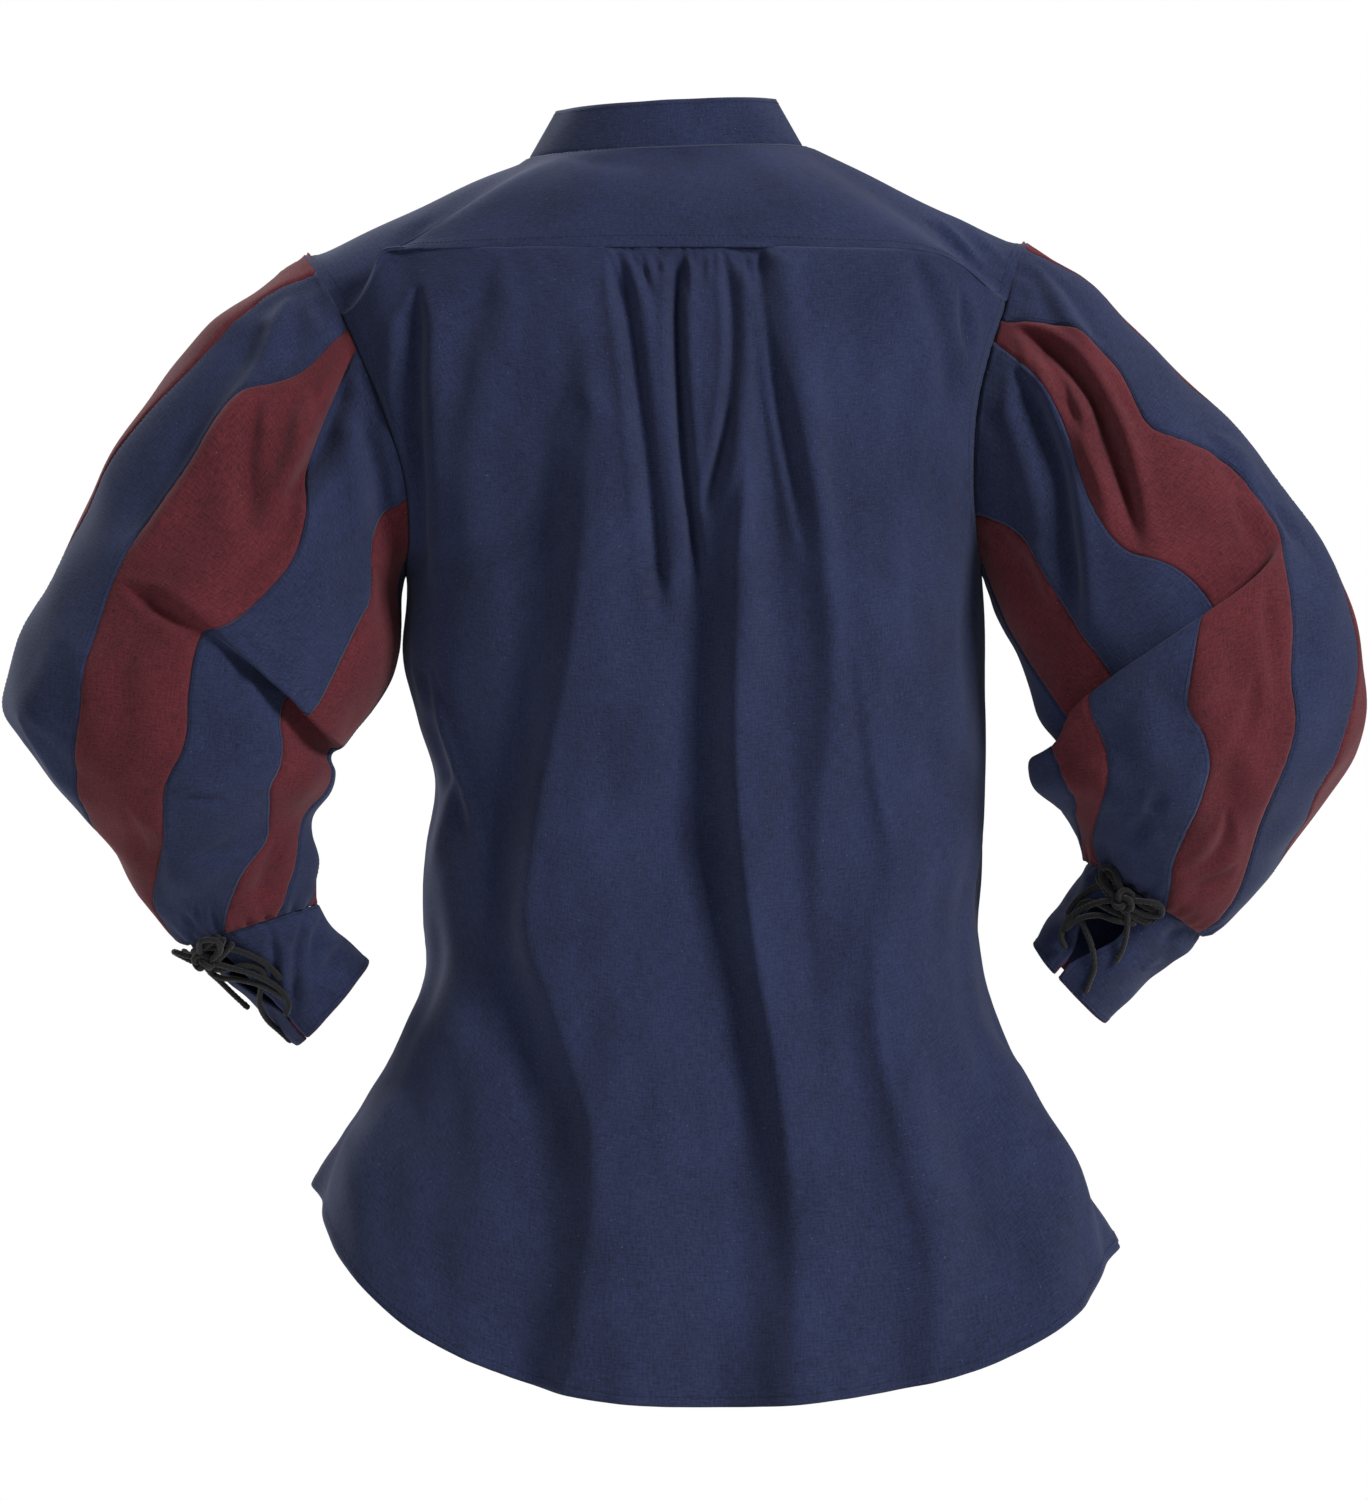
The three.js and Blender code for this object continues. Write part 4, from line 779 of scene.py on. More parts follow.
def new_mesh_object(name, vertices, faces, uvs):
    """A mesh piece in metres from vertices in mm, riding on the shirt's one body."""
    mesh = bpy.data.meshes.new(name)
    places = in_metres(np.asarray(vertices, float).reshape(-1, 3))
    faces = np.asarray(faces, np.int32)
    mesh.vertices.add(len(places))
    mesh.vertices.foreach_set("co", places.ravel())
    mesh.loops.add(faces.size)
    mesh.loops.foreach_set("vertex_index", faces.ravel())
    mesh.polygons.add(len(faces))
    mesh.polygons.foreach_set("loop_start", np.arange(len(faces), dtype=np.int32) * faces.shape[1])
    mesh.polygons.foreach_set("use_smooth", np.full(len(faces), True))
    layer = mesh.uv_layers.new(name="cloth")
    layer.data.foreach_set("uv", (np.asarray(uvs).reshape(-1, 2)[faces.ravel()] * MM).ravel())
    mesh.update(calc_edges=True)
    mesh.validate()
    piece = bpy.data.objects.new(name, mesh)
    bpy.context.scene.collection.objects.link(piece)
    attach(piece, "root")
    return piece


def grid_faces(rows, columns, closed=False):
    """Quads between neighbours of a grid of points, and from the last column to the first if closed."""
    i, j = np.meshgrid(np.arange(rows - 1), np.arange(columns if closed else columns - 1), indexing="ij")
    k = (j + 1) % columns
    here, below = i * columns, (i + 1) * columns
    return np.stack([here + j, here + k, below + k, below + j], axis=-1).reshape(-1, 4)


def inset_edges(points, first=0.0, last=0.0, start=0.0, end=0.0):
    """Moves the outer rows and columns of a grid in from their seams."""
    for edge, inner, gap in ((points[0], points[1], first), (points[-1], points[-2], last),
                             (points[:, 0], points[:, 1], start), (points[:, -1], points[:, -2], end)):
        if gap:
            edge += unit(inner - edge) * gap


def seam_allowance(points, normals, first=0.0, last=0.0, start=0.0, end=0.0, deep=1.4):
    """Adds two rows or columns beyond an edge of a grid, which run on under the neighbouring piece:
    by the given mm along the cloth, and deep mm further in. A width can differ along the edge."""
    for run, edge, inner in ((first, 0, 1), (last, -1, -2)):
        if not np.any(run):
            continue
        run = np.broadcast_to(np.asarray(run, float), points[edge].shape[:1])[:, None]
        out = unit(points[edge] - points[inner])
        sunk = points[edge] - normals[edge] * deep * np.minimum(run, 1)
        added = [sunk + out * np.minimum(run, 0.05), sunk + out * run]
        added_normals = [normals[edge]] * 2
        if edge == 0:
            points = np.concatenate([added[::-1], points])
            normals = np.concatenate([added_normals, normals])
        else:
            points = np.concatenate([points, added])
            normals = np.concatenate([normals, added_normals])
    if np.any(start) or np.any(end):
        turned = seam_allowance(points.transpose(1, 0, 2), normals.transpose(1, 0, 2), start, end, deep=deep)
        points, normals = (grid.transpose(1, 0, 2) for grid in turned)
    return points, normals


def cloth_piece(name, points, normals, thickness, material, keep=None):
    """A thin shell: the grid of points is its outer side, and Solidify adds the wall inwards."""
    rows, columns = points.shape[:2]
    faces = grid_faces(rows, columns)
    down = np.diff(points, axis=0)[:, :-1]
    across = np.diff(points, axis=1)[:-1]
    outward = np.sum(unit(np.cross(across, down)) * normals[:-1, :-1])
    if outward < 0:
        faces = faces[:, ::-1]
    if keep is not None:
        faces = faces[keep.ravel()]
    steps_across = np.linalg.norm(np.diff(points, axis=1), axis=-1).mean(axis=0)
    steps_down = np.linalg.norm(np.diff(points, axis=0), axis=-1).mean(axis=1)
    u = np.concatenate([[0], np.cumsum(steps_across)])
    v = np.concatenate([[0], np.cumsum(steps_down)])
    uv = np.stack(np.meshgrid(u, v), axis=-1)
    used, renumbered = np.unique(faces, return_inverse=True)
    piece = new_mesh_object(
        name, points.reshape(-1, 3)[used], renumbered.reshape(faces.shape), uv.reshape(-1, 2)[used])
    piece.data.materials.append(material)
    wall = piece.modifiers.new("cloth wall", "SOLIDIFY")
    wall.thickness = thickness * MM
    wall.offset = -1
    wall.use_even_offset = False
    return piece


def tube(path, radius, around, beside=(0.3, 0.2, 0.93), ripple=0.0):
    """Points of a tube along a path. Its radius may differ along the path, and ripple gives the share
    by which it changes at each place along and around it."""
    tangents = unit(np.gradient(path, axis=0))
    side = unit(np.cross(tangents, beside))
    up = np.cross(side, tangents)
    turn = np.linspace(0, 2 * math.pi, around, endpoint=False)
    radii = np.broadcast_to(np.asarray(radius, float), len(path))
    size = radii[:, None] * np.ones(around) * (1 + ripple)
    return (path[:, None] + side[:, None] * (np.cos(turn) * size)[..., None]
            + up[:, None] * (np.sin(turn) * size)[..., None])


def resample(path, step):
    """Points at an even step along a path."""
    run = run_along(path)
    places = np.linspace(0, run[-1], max(int(round(run[-1] / step)), 2) + 1)
    return at_places(places, run, path)


def tube_object(name, points, along, turn, material):
    """A mesh piece from a tube's points, with a tip at both its ends."""
    rows, columns = points.shape[:2]
    faces = grid_faces(rows, columns, closed=True)
    count, last = rows * columns, (rows - 1) * columns
    j = np.arange(columns)
    k = (j + 1) % columns
    start = np.stack([k, j, np.full(columns, count)], axis=1)
    end = np.stack([last + j, last + k, np.full(columns, count + 1)], axis=1)
    tips = np.stack([points[0].mean(axis=0), points[-1].mean(axis=0)])
    vertices = np.concatenate([points.reshape(-1, 3), tips])
    uv = np.stack(np.broadcast_arrays(turn[None], along), axis=-1).reshape(-1, 2)
    uv = np.concatenate([uv, [[0, 0], [0, float(np.max(along))]]])
    faces = np.concatenate([faces[:, [0, 1, 2]], faces[:, [0, 2, 3]], start, end])
    piece = new_mesh_object(name, vertices, faces, uv)
    piece.data.materials.append(material)
    return piece


# Share along the stitch and share of its radius
STITCH_RINGS = ((-0.5, 0.35), (0.0, 1.0), (0.5, 0.35))
STITCH_SIDES = 4
STITCH_VERTICES = len(STITCH_RINGS) * STITCH_SIDES


def stitch_faces():
    """Faces of one stitch: its sides, and a cap at both its ends."""
    low = np.arange(STITCH_SIDES)[None]
    high = low[:, ::-1] + STITCH_VERTICES - STITCH_SIDES
    return np.concatenate([grid_faces(len(STITCH_RINGS), STITCH_SIDES, closed=True), low, high])


def stitch_mesh(name, lines, length, pitch, radius, material):
    """A row of thread stitches for each line: a line is its points and the cloth's normals there.
    Each stitch is a short rod with three rings, sunk by a third into the cloth."""
    turn = np.linspace(0, 2 * math.pi, STITCH_SIDES, endpoint=False)
    rods = []
    for points, normals in lines:
        run = run_along(points)
        if run[-1] < 2 * pitch:
            continue
        places = np.arange(0.5 * pitch, run[-1] - 0.3 * pitch, pitch)
        centre = at_places(places, run, points)
        along = unit(at_places(places + 0.4, run, points) - centre)
        side = unit(np.cross(unit(at_places(places, run, normals)), along))
        up = np.cross(along, side)
        rings = []
        for share, size in STITCH_RINGS:
            middle = centre + along * share * length + up * radius * (0.55 * size)
            rings.append(middle[:, None] + side[:, None] * (np.cos(turn) * radius * size)[None, :, None]
                         + up[:, None] * (np.sin(turn) * radius * size * 0.8)[None, :, None])
        rods.append(np.stack(rings, axis=1).reshape(-1, STITCH_VERTICES, 3))
    rods = np.concatenate(rods)
    starts = np.arange(len(rods)) * STITCH_VERTICES
    faces = (stitch_faces()[None] + starts[:, None, None]).reshape(-1, 4)
    vertices = rods.reshape(-1, 3)
    piece = new_mesh_object(name, vertices, faces, vertices[:, :2])
    piece.data.materials.append(material)
    return piece


# Materials

class Nodes:
    """Adds shader nodes and links to a new material in short lines."""

    def __init__(self, name):
        self.material = bpy.data.materials.new(name)
        self.material.use_nodes = True
        self.tree = self.material.node_tree
        self.shader = next(node for node in self.tree.nodes if node.type == "BSDF_PRINCIPLED")

    def add(self, kind, links=None, **values):
        node = self.tree.nodes.new(kind)
        for name, value in values.items():
            setattr(node, name, value)
        for socket, source in (links or {}).items():
            self.link(source, node.inputs[socket])
        return node

    def link(self, source, target):
        if hasattr(source, "is_output"):
            self.tree.links.new(source, target)
        else:
            target.default_value = source

    def coat(self, **values):
        """Sets the main shader's inputs, each named with low lines for its spaces."""
        for name, value in values.items():
            self.link(value, self.shader.inputs[name.replace("_", " ")])

    def maths(self, operation, a, b=0.0):
        return self.add("ShaderNodeMath", {0: a, 1: b}, operation=operation).outputs[0]

    def noise(self, place, stretch, detail):
        moved = self.add("ShaderNodeMapping", {"Vector": place, "Scale": stretch})
        node = self.add("ShaderNodeTexNoise", {"Vector": moved.outputs[0], "Scale": 1.0, "Detail": detail})
        return node.outputs["Fac"]

    def ramp(self, tone, *stops):
        """Colours by tone, from two stops: each has its place, its colour and the colour's strength."""
        node = self.add("ShaderNodeValToRGB", {"Fac": tone})
        for element, (place, colour, strength) in zip(node.color_ramp.elements, stops):
            element.position = place
            element.color = (*[min(c * strength, 1) for c in colour], 1)
        return node.outputs[0]

    def bump(self, height, strength, distance):
        values = {"Height": height, "Strength": strength, "Distance": distance}
        return self.add("ShaderNodeBump", values).outputs[0]


def cotton(nodes, colour, lint_colour, settings):
    """Plain-woven cotton with a soft nap: threads both ways, a heathered grain, and sparse lint."""
    place = nodes.add("ShaderNodeUVMap", uv_map="cloth").outputs[0]
    warp = nodes.noise(place, (980, 120, 1), 3)
    weft = nodes.noise(place, (120, 980, 1), 3)
    grain = nodes.noise(place, (640, 640, 1), 4)
    cloud = nodes.noise(place, (22, 14, 1), 3)
    threads = nodes.maths("ADD", nodes.maths("MULTIPLY", warp, 0.5), nodes.maths("MULTIPLY", weft, 0.5))
    tone = nodes.maths("ADD", nodes.maths("MULTIPLY", threads, 0.5), nodes.maths("MULTIPLY", grain, 0.3))
    tone = nodes.maths("ADD", tone, nodes.maths("MULTIPLY", cloud, 0.2))
    dyed = nodes.ramp(tone, (0.37, colour, 0.45), (0.63, colour, 1.6))
    moved = nodes.add("ShaderNodeMapping", {"Vector": place, "Scale": (150, 190, 1)})
    cells = nodes.add("ShaderNodeTexVoronoi", {"Vector": moved.outputs[0], "Scale": 1.0})
    chance = nodes.add("ShaderNodeSeparateColor", {"Color": cells.outputs["Color"]}).outputs[0]
    small = nodes.maths("LESS_THAN", cells.outputs["Distance"], 0.055)
    rare = nodes.maths("GREATER_THAN", chance, 0.45)
    lint = nodes.maths("MULTIPLY", nodes.maths("MULTIPLY", small, rare), 0.45)
    linted = nodes.add("ShaderNodeMix", {0: lint, 6: dyed, 7: (*lint_colour, 1)}, data_type="RGBA")
    height = nodes.maths("ADD", threads, nodes.maths("MULTIPLY", grain, 0.8))
    nodes.coat(
        Base_Color=linted.outputs[2], Normal=nodes.bump(height, settings.weave_strength, 0.0006),
        Roughness=0.95, Specular_IOR_Level=0.18, Sheen_Weight=0.22, Sheen_Roughness=0.6,
        Sheen_Tint=(*[min(1, c * 3 + 0.25) for c in colour], 1))


def braid(nodes, colour):
    """Matte braided cotton lace: two sets of diagonal strands as bumps, and a colour that follows their
    height, with painted shade in the grooves between them.
    """
    place = nodes.add("ShaderNodeUVMap", uv_map="cloth").outputs[0]
    parts = nodes.add("ShaderNodeSeparateXYZ", {"Vector": place})
    waves = []
    for lean in (1, -1):
        slope = nodes.maths("MULTIPLY", parts.outputs[1], 2100.0 * lean)
        phase = nodes.maths("ADD", nodes.maths("MULTIPLY", parts.outputs[0], 2100.0), slope)
        waves.append(nodes.maths("SINE", phase))
    height = nodes.maths("MAXIMUM", waves[0], waves[1])
    fuzz = nodes.noise(place, (1200, 1200, 1), 2)
    # The colour ramp below reads the strands' height. The grooves between strands are painted darker as
    # shade, and the fuzz adds random tone.
    tone = nodes.maths("ADD", nodes.maths("MULTIPLY", height, 0.25), fuzz)
    nodes.coat(
        Base_Color=nodes.ramp(tone, (0.25, colour, 0.5), (0.85, colour, 1.8)),
        Normal=nodes.bump(tone, 0.7, 0.0005), Roughness=0.85, Specular_IOR_Level=0.25, Sheen_Weight=0.15)


def thread(nodes, colour, strength):
    """Sewing thread in a darker shade of its cloth: plain, with a slight gloss."""
    nodes.coat(Base_Color=(*[c * strength for c in colour], 1), Roughness=0.6, Specular_IOR_Level=0.3)


def finish(kind, settings):
    """The shirt's material of one kind, made when it is first asked for."""
    if kind in bpy.data.materials:
        return bpy.data.materials[kind]
    nodes = Nodes(kind)
    if kind == "navy cotton":
        cotton(nodes, settings.navy, (0.16, 0.19, 0.30), settings)
    elif kind == "burgundy cotton":
        cotton(nodes, settings.burgundy, (0.34, 0.17, 0.18), settings)
    elif kind == "navy thread":
        thread(nodes, settings.navy, 0.55)
    elif kind == "burgundy thread":
        thread(nodes, settings.burgundy, 0.6)
    else:
        braid(nodes, settings.lace_colour)
    return nodes.material


# Pieces: each function gives the points and normals of its cloth

def edge_distance(points):
    """Distance in mm of each point of a grid from its first and last column, along its row."""
    steps = np.linalg.norm(np.diff(points, axis=1), axis=-1)
    run = np.concatenate([np.zeros((len(points), 1)), np.cumsum(steps, axis=1)], axis=1)
    return run, run[:, -1:] - run


def row_distance(points):
    """Distance in mm of each point of a grid from its first and last row, down its column."""
    from_first, from_last = edge_distance(points.transpose(1, 0, 2))
    return from_first.T, from_last.T


def hem_form(below, place):
    """A narrow turned-up hem: a slight step up to a thicker band, a stitched groove, and an uneven edge."""
    band = 0.7 * (1 - smooth((below - 6.5) / 1.6)) - 0.35 * bell(below - 6.2, 0.9)
    return band + 0.35 * np.sin(place / 3.1 + 2 * np.sin(place / 17)) * np.exp(-below / 6)


def finer(count, middle, wide, gain):
    """Shares from 0 to 1 whose steps are smaller around one place, by up to 1 + gain."""
    place = np.linspace(0, 1, 600)
    total = np.cumsum(1 + gain * bell(place - middle, wide))
    return np.interp(np.linspace(total[0], total[-1], count), total, place)


def back_points(settings):
    """The back: torso sections from the yoke's seam to the hem, less the depth of its creases,
    gathers and seams, plus the height of its pleats and the hem's own waves."""
    shares, v = finer(188, 0.5, 0.13, 2.2), finer(238, 0.0, 0.12, 1.4)[:, None]
    top, low = yoke_seam_z(shares), follow(HEM, "back", "share", shares)
    z = mix(top, low, v)
    angle = panel_angle(shares, z)
    base, normal = torso_point(angle, z), torso_normal(angle, z)
    from_left, from_right = edge_distance(base)
    above, below = row_distance(base)
    side = np.minimum(from_left, from_right)
    depth = crease_depth(BACK_CREASES, base[..., 0], base[..., 2]) + unevenness(base, 3, 1.3, 95)
    depth += unevenness(base * [1, 1, 0.3], 13, 0.7, 34)
    depth -= pleat_height(BACK_PLEATS, base[..., 0], base[..., 2]) * smooth(side / 30)
    depth *= smooth(side / 16) * smooth(above / 3) * settings.fold_depth
    across = base[..., 0] + 300
    gathered = smooth((72 - np.abs(base[..., 0] + 8)) / 28)
    depth += gather_depth(above, across, 5.6, 2.2, 20, 21) * gathered
    depth += 0.3 * seam_dip(above, across, 1.0) + 0.4 * bell(above, 3.0) * smooth((side - 12) / 80)
    depth += 0.8 * seam_dip(side, -z, 2.0) * smooth(below / 12)
    depth -= hem_form(below, across)
    points = base - normal * depth[..., None]
    flare = 5.5 * np.sin(base[..., 0] / 21 + 0.8 * np.sin(base[..., 0] / 47)) * smooth(1 - below / 170) ** 2
    points += normal * (flare * smooth(side / 30))[..., None]
    return points, normal


SHOULDER_ROWS = 21     # rows of the front above the chest


def front_points(settings):
    """The front: the shoulders' surface down to the chest and torso sections from there to the hem,
    with folds as on the back. keep is false for the faces in the slit, between columns slit and
    slit + 1, which are pulled together below it."""
    half_shares = np.linspace(0, 0.4994, 70)
    shares = np.concatenate([half_shares, 1 - half_shares[::-1]])
    slit = len(half_shares) - 1
    t = np.linspace(0, 1, SHOULDER_ROWS + 1)[:-1, None]
    neck_angle = mix(-FRONT_CORNER, FRONT_CORNER - 180, shares)
    upper = shoulder_point(neck_angle + 0 * t, t + 0 * neck_angle)
    upper_normal = shoulder_normal(neck_angle + 0 * t, t + 0 * neck_angle)
    v = np.linspace(0, 1, 150)[:, None]
    z = mix(front_base_z(shares), follow(HEM, "front", "share", shares), v)
    angle = -panel_angle(shares, z)
    base = np.concatenate([upper, torso_point(angle, z)])
    normal = np.concatenate([upper_normal, torso_normal(angle, z)])
    aside = NECK["middle"] - 0.5 * (base[:, slit, 0] + base[:, slit + 1, 0])
    aside = aside * (1 - smooth((-250 - base[:, slit, 2]) / 220))
    base[..., 0] += aside[:, None] * smooth(1 - np.abs(shares - 0.5) / 0.3)
    from_left, from_right = edge_distance(base)
    above, below = row_distance(base)
    side = np.minimum(from_left, from_right)
    depth = crease_depth(FRONT_CREASES, base[..., 0], base[..., 2]) + unevenness(base, 4, 1.3, 95)
    depth += unevenness(base * [1, 1, 0.3], 14, 0.8, 34)
    depth -= pleat_height(FRONT_PLEATS, base[..., 0], base[..., 2]) * smooth(side / 30)
    depth *= smooth(side / 16) * smooth(above / 14) * settings.fold_depth
    across = base[..., 0] + 300
    depth += seam_dip(above, across, 3.0) + seam_dip(side, -base[..., 2], 2.0) * smooth(below / 12)
    depth -= hem_form(below, across)
    points = base - normal * depth[..., None]
    flare = 5 * np.sin(base[..., 0] / 23 + 1.2) * smooth(1 - below / 150) ** 2
    points += normal * (flare * smooth(side / 30))[..., None]
    closed = smooth((SLIT_LOW_Z + 6 - points[:, slit, 2]) / 12)
    half = mix(SLIT_HALF_WIDTH, 0.02, closed)
    middle = 0.5 * (points[:, slit, 0] + points[:, slit + 1, 0])
    points[:, slit, 0], points[:, slit + 1, 0] = middle + half, middle - half
    keep = np.ones((points.shape[0] - 1, points.shape[1] - 1), bool)
    keep[:, slit] = points[:-1, slit, 2] < SLIT_LOW_Z
    return points, normal, keep, slit


def yoke_points(settings):
    """The yoke: the shoulders' surface, with each row eased by moving its points towards the middle
    of their neighbours, most halfway down from the neck, and with shallow creases."""
    angles = np.linspace(-FRONT_CORNER, 180 + FRONT_CORNER, 236)
    t = np.linspace(0, 1, 40)[:, None]
    grid_angle, grid_t = angles + 0 * t, t + 0 * angles
    base, normal = shoulder_point(grid_angle, grid_t), shoulder_normal(grid_angle, grid_t)
    ease = 0.5 * np.sin(math.pi * t)[..., None]
    for _ in range(90):
        beside = 0.5 * (base[:, :-2] + base[:, 2:])
        base[:, 1:-1] = mix(base[:, 1:-1], beside, ease)
    from_neck, from_seam = row_distance(base)
    behind = smooth(np.sin(radians(grid_angle)) * 2 + 0.4)
    depth = crease_depth(YOKE_CREASES, base[..., 0], base[..., 2]) * behind * settings.fold_depth
    depth += unevenness(base, 5, 0.8, 80) * smooth(from_seam / 14) * smooth(from_neck / 10)
    across = base[..., 0] + 300
    depth += 0.1 * seam_dip(from_seam, across, 1.0) + 0.6 * seam_dip(from_neck, across, 4.0)
    return base - normal * depth[..., None], normal


def collar_points():
    """The collar: rings over the neck seam that draw in as they rise, with a slight wave."""
    angles = np.linspace(-87, 267, 180)
    t = np.array([-0.13, -0.05, *np.linspace(0, 1, 14)])[:, None]

    def ring(angle, t):
        base = neck_point(angle)
        s = np.sin(radians(angle))
        x = NECK["middle"] + (base[..., 0] - NECK["middle"]) * mix(0.996, 0.8, np.maximum(t, 0))
        y = base[..., 1] * mix(0.994, 0.93, np.maximum(t, 0)) + np.where(s < 0, 6, 0) * np.maximum(t, 0)
        return stack(x, y, base[..., 2] + 0.4 + COLLAR_HEIGHT * t)

    grid_angle, grid_t = angles + 0 * t, t + 0 * angles
    base = ring(grid_angle, grid_t)
    along = ring(grid_angle + 1, grid_t) - ring(grid_angle - 1, grid_t)
    normal = unit(stack(along[..., 1], -along[..., 0], 0 * along[..., 0]))
    wave = 0.9 * np.sin(radians(grid_angle) * 9 + 1.2 * np.sin(radians(grid_angle) * 4)) * grid_t
    return base + normal * wave[..., None], normal


def sleeve_panel_points(side, number, settings):
    """One strip of a sleeve between two seams, with the dent and the puckers of the seams. The four
    strips behind have a finer grid than those in front."""
    last = LAST_RING[side]
    rows, columns = (196, 34) if number < 4 else (146, 28)
    rings = np.linspace(0, last, rows)[:, None]
    seams = seam_angles(side, rings[:, 0])
    angle = mix(seams[number][:, None], seams[number + 1][:, None], np.linspace(0, 1, columns))
    points, normal = sleeve_point(side, rings + 0 * angle, angle, settings.fold_depth)
    from_first, from_second = edge_distance(points)
    from_armhole, from_cuff = row_distance(points)
    run = from_armhole.mean(axis=1, keepdims=True)
    dip = seam_dip(from_first, run, number) + seam_dip(from_second, run, (number + 1) % 8)
    dip += 0.6 * seam_dip(from_armhole, angle * 2.2, 9.0) + seam_dip(from_cuff, angle * 0.8, 8.0)
    fade = smooth(rings / 0.04) * smooth((last - rings) / 0.05)
    points = points - normal * (dip * fade)[..., None]
    return points, normal


def cuff_point(side, share, angle):
    """The cuff runs on straight from the sleeve's last section to the wrist's."""
    wrist, rings = CUFFS[side], SLEEVE_RINGS[side]
    return section_point({name: mix(rings[name][-1], wrist[name], share) for name in SECTION_SIZES}, angle)


def cuff_normal(side, share, angle):
    share, angle = np.broadcast_arrays(np.asarray(share, float), np.asarray(angle, float))
    middle = 0.5 * (cuff_point(side, share, 0 * angle) + cuff_point(side, share, 0 * angle + 180))
    hint = cuff_point(side, share, angle) - middle
    return normal_of(lambda u, v: cuff_point(side, u, v), share, angle, 0.05, 1.0, hint)


def degrees_per_mm(side, share):
    """How much of a turn one mm round the cuff is, at its opening."""
    slit = CUFFS[side]["slit"]
    step = cuff_point(side, share, slit + 0.5) - cuff_point(side, share, slit - 0.5)
    return 1 / np.linalg.norm(step, axis=-1)


def cuff_points(side, settings):
    """A cuff from one edge of its opening round to the other, with a bowed wrist edge."""
    slit = CUFFS[side]["slit"]
    share = np.linspace(0, 1, 52)[:, None]
    half = follow(CUFF_OPENING, "half", "share", share) * CUFFS[side]["open"]
    half = half * degrees_per_mm(side, share[:, 0])[:, None]
    around = np.linspace(0, 1, 150)
    angle = mix(slit + half, slit + 360 - half, around)
    share = share + 0 * angle
    base, normal = cuff_point(side, share, angle), cuff_normal(side, share, angle)
    from_first, from_second = edge_distance(base)
    from_seam, from_wrist = row_distance(base)
    edge = np.minimum(from_first, from_second)
    behind = smooth(np.sin(radians(angle)) * 2.6 + 0.1)
    depth = crease_depth(CUFF_CREASES[side], base[..., 0], base[..., 2]) * behind
    depth += unevenness(base, 8, 0.9, 34)
    depth += gather_depth(from_seam, angle * 0.75, 9.0, 1.5, 16.0, 31) + seam_dip(from_seam, angle * 0.8, 8.0)
    depth = depth * settings.fold_depth
    wrist_way = unit(cuff_point(side, 1.0, 90.0) - cuff_point(side, 0.0, 90.0))
    base = base + wrist_way * (4.5 * np.sin(radians(angle)) * share ** 3)[..., None]
    rim = np.minimum(edge, from_wrist)
    depth -= 0.5 * (1 - smooth((rim - 3.4) / 1.4)) - 0.35 * bell(rim - 3.2, 0.8)
    return base - normal * depth[..., None], normal


def over_cuff(side, across, along, lift):
    """A place over the cuff by its opening: mm across it, share along the cuff, mm off the cloth."""
    across, along = np.asarray(across, float), np.asarray(along, float)
    angle = CUFFS[side]["slit"] + across * degrees_per_mm(side, along)
    return cuff_point(side, along, angle) + cuff_normal(side, along, angle) * np.asarray(lift)[..., None]


def lace_path(side, route, steps):
    """A lace's middle line: a smooth curve through the points of its route."""
    lift = 0.5 * LACE_DIAMETER + LACE_CLEARANCE + route["lift"]
    points = over_cuff(side, route["across"], route["along"], lift)
    run = np.concatenate([[0], np.cumsum(np.sqrt(np.linalg.norm(np.diff(points, axis=0), axis=1)))])
    rows = {"run": run, "x": points[:, 0], "y": points[:, 1], "z": points[:, 2]}
    places = np.linspace(0, run[-1], steps)
    return np.stack([follow(rows, name, "run", places) for name in "xyz"], axis=1)


# Lines for stitches, taken from the cloth's own grid

def grid_line(points, normals, rows, columns):
    """Points and normals of a grid at fractional rows and columns, by the mean of the four around."""
    rows, columns = np.broadcast_arrays(np.asarray(rows, float), np.asarray(columns, float))
    i = np.clip(rows.astype(int), 0, points.shape[0] - 2)
    j = np.clip(columns.astype(int), 0, points.shape[1] - 2)
    a, b = (rows - i)[:, None], (columns - j)[:, None]
    found = []
    for grid in (points, normals):
        near = mix(grid[i, j], grid[i, j + 1], b)
        far = mix(grid[i + 1, j], grid[i + 1, j + 1], b)
        found.append(mix(near, far, a))
    return found


def column_line(points, normals, distance, from_end=False, first_row=0, last_row=None):
    """A line down a grid at a distance in mm from its first or last column."""
    last_row = len(points) - 1 if last_row is None else last_row
    rows = np.arange(first_row, last_row + 1)
    run, numbers = edge_distance(points)[int(from_end)], np.arange(points.shape[1])
    if from_end:
        run, numbers = run[:, ::-1], numbers[::-1]
    columns = np.array([np.interp(distance, run[r], numbers) for r in rows])
    return grid_line(points, normals, rows, columns)


def row_line(points, normals, distance, from_end=False, first_column=0, last_column=None):
    """A line across a grid at a distance in mm from its first or last row."""
    turned, turned_normals = points.transpose(1, 0, 2), normals.transpose(1, 0, 2)
    return column_line(turned, turned_normals, distance, from_end, first_column, last_column)


# Settings

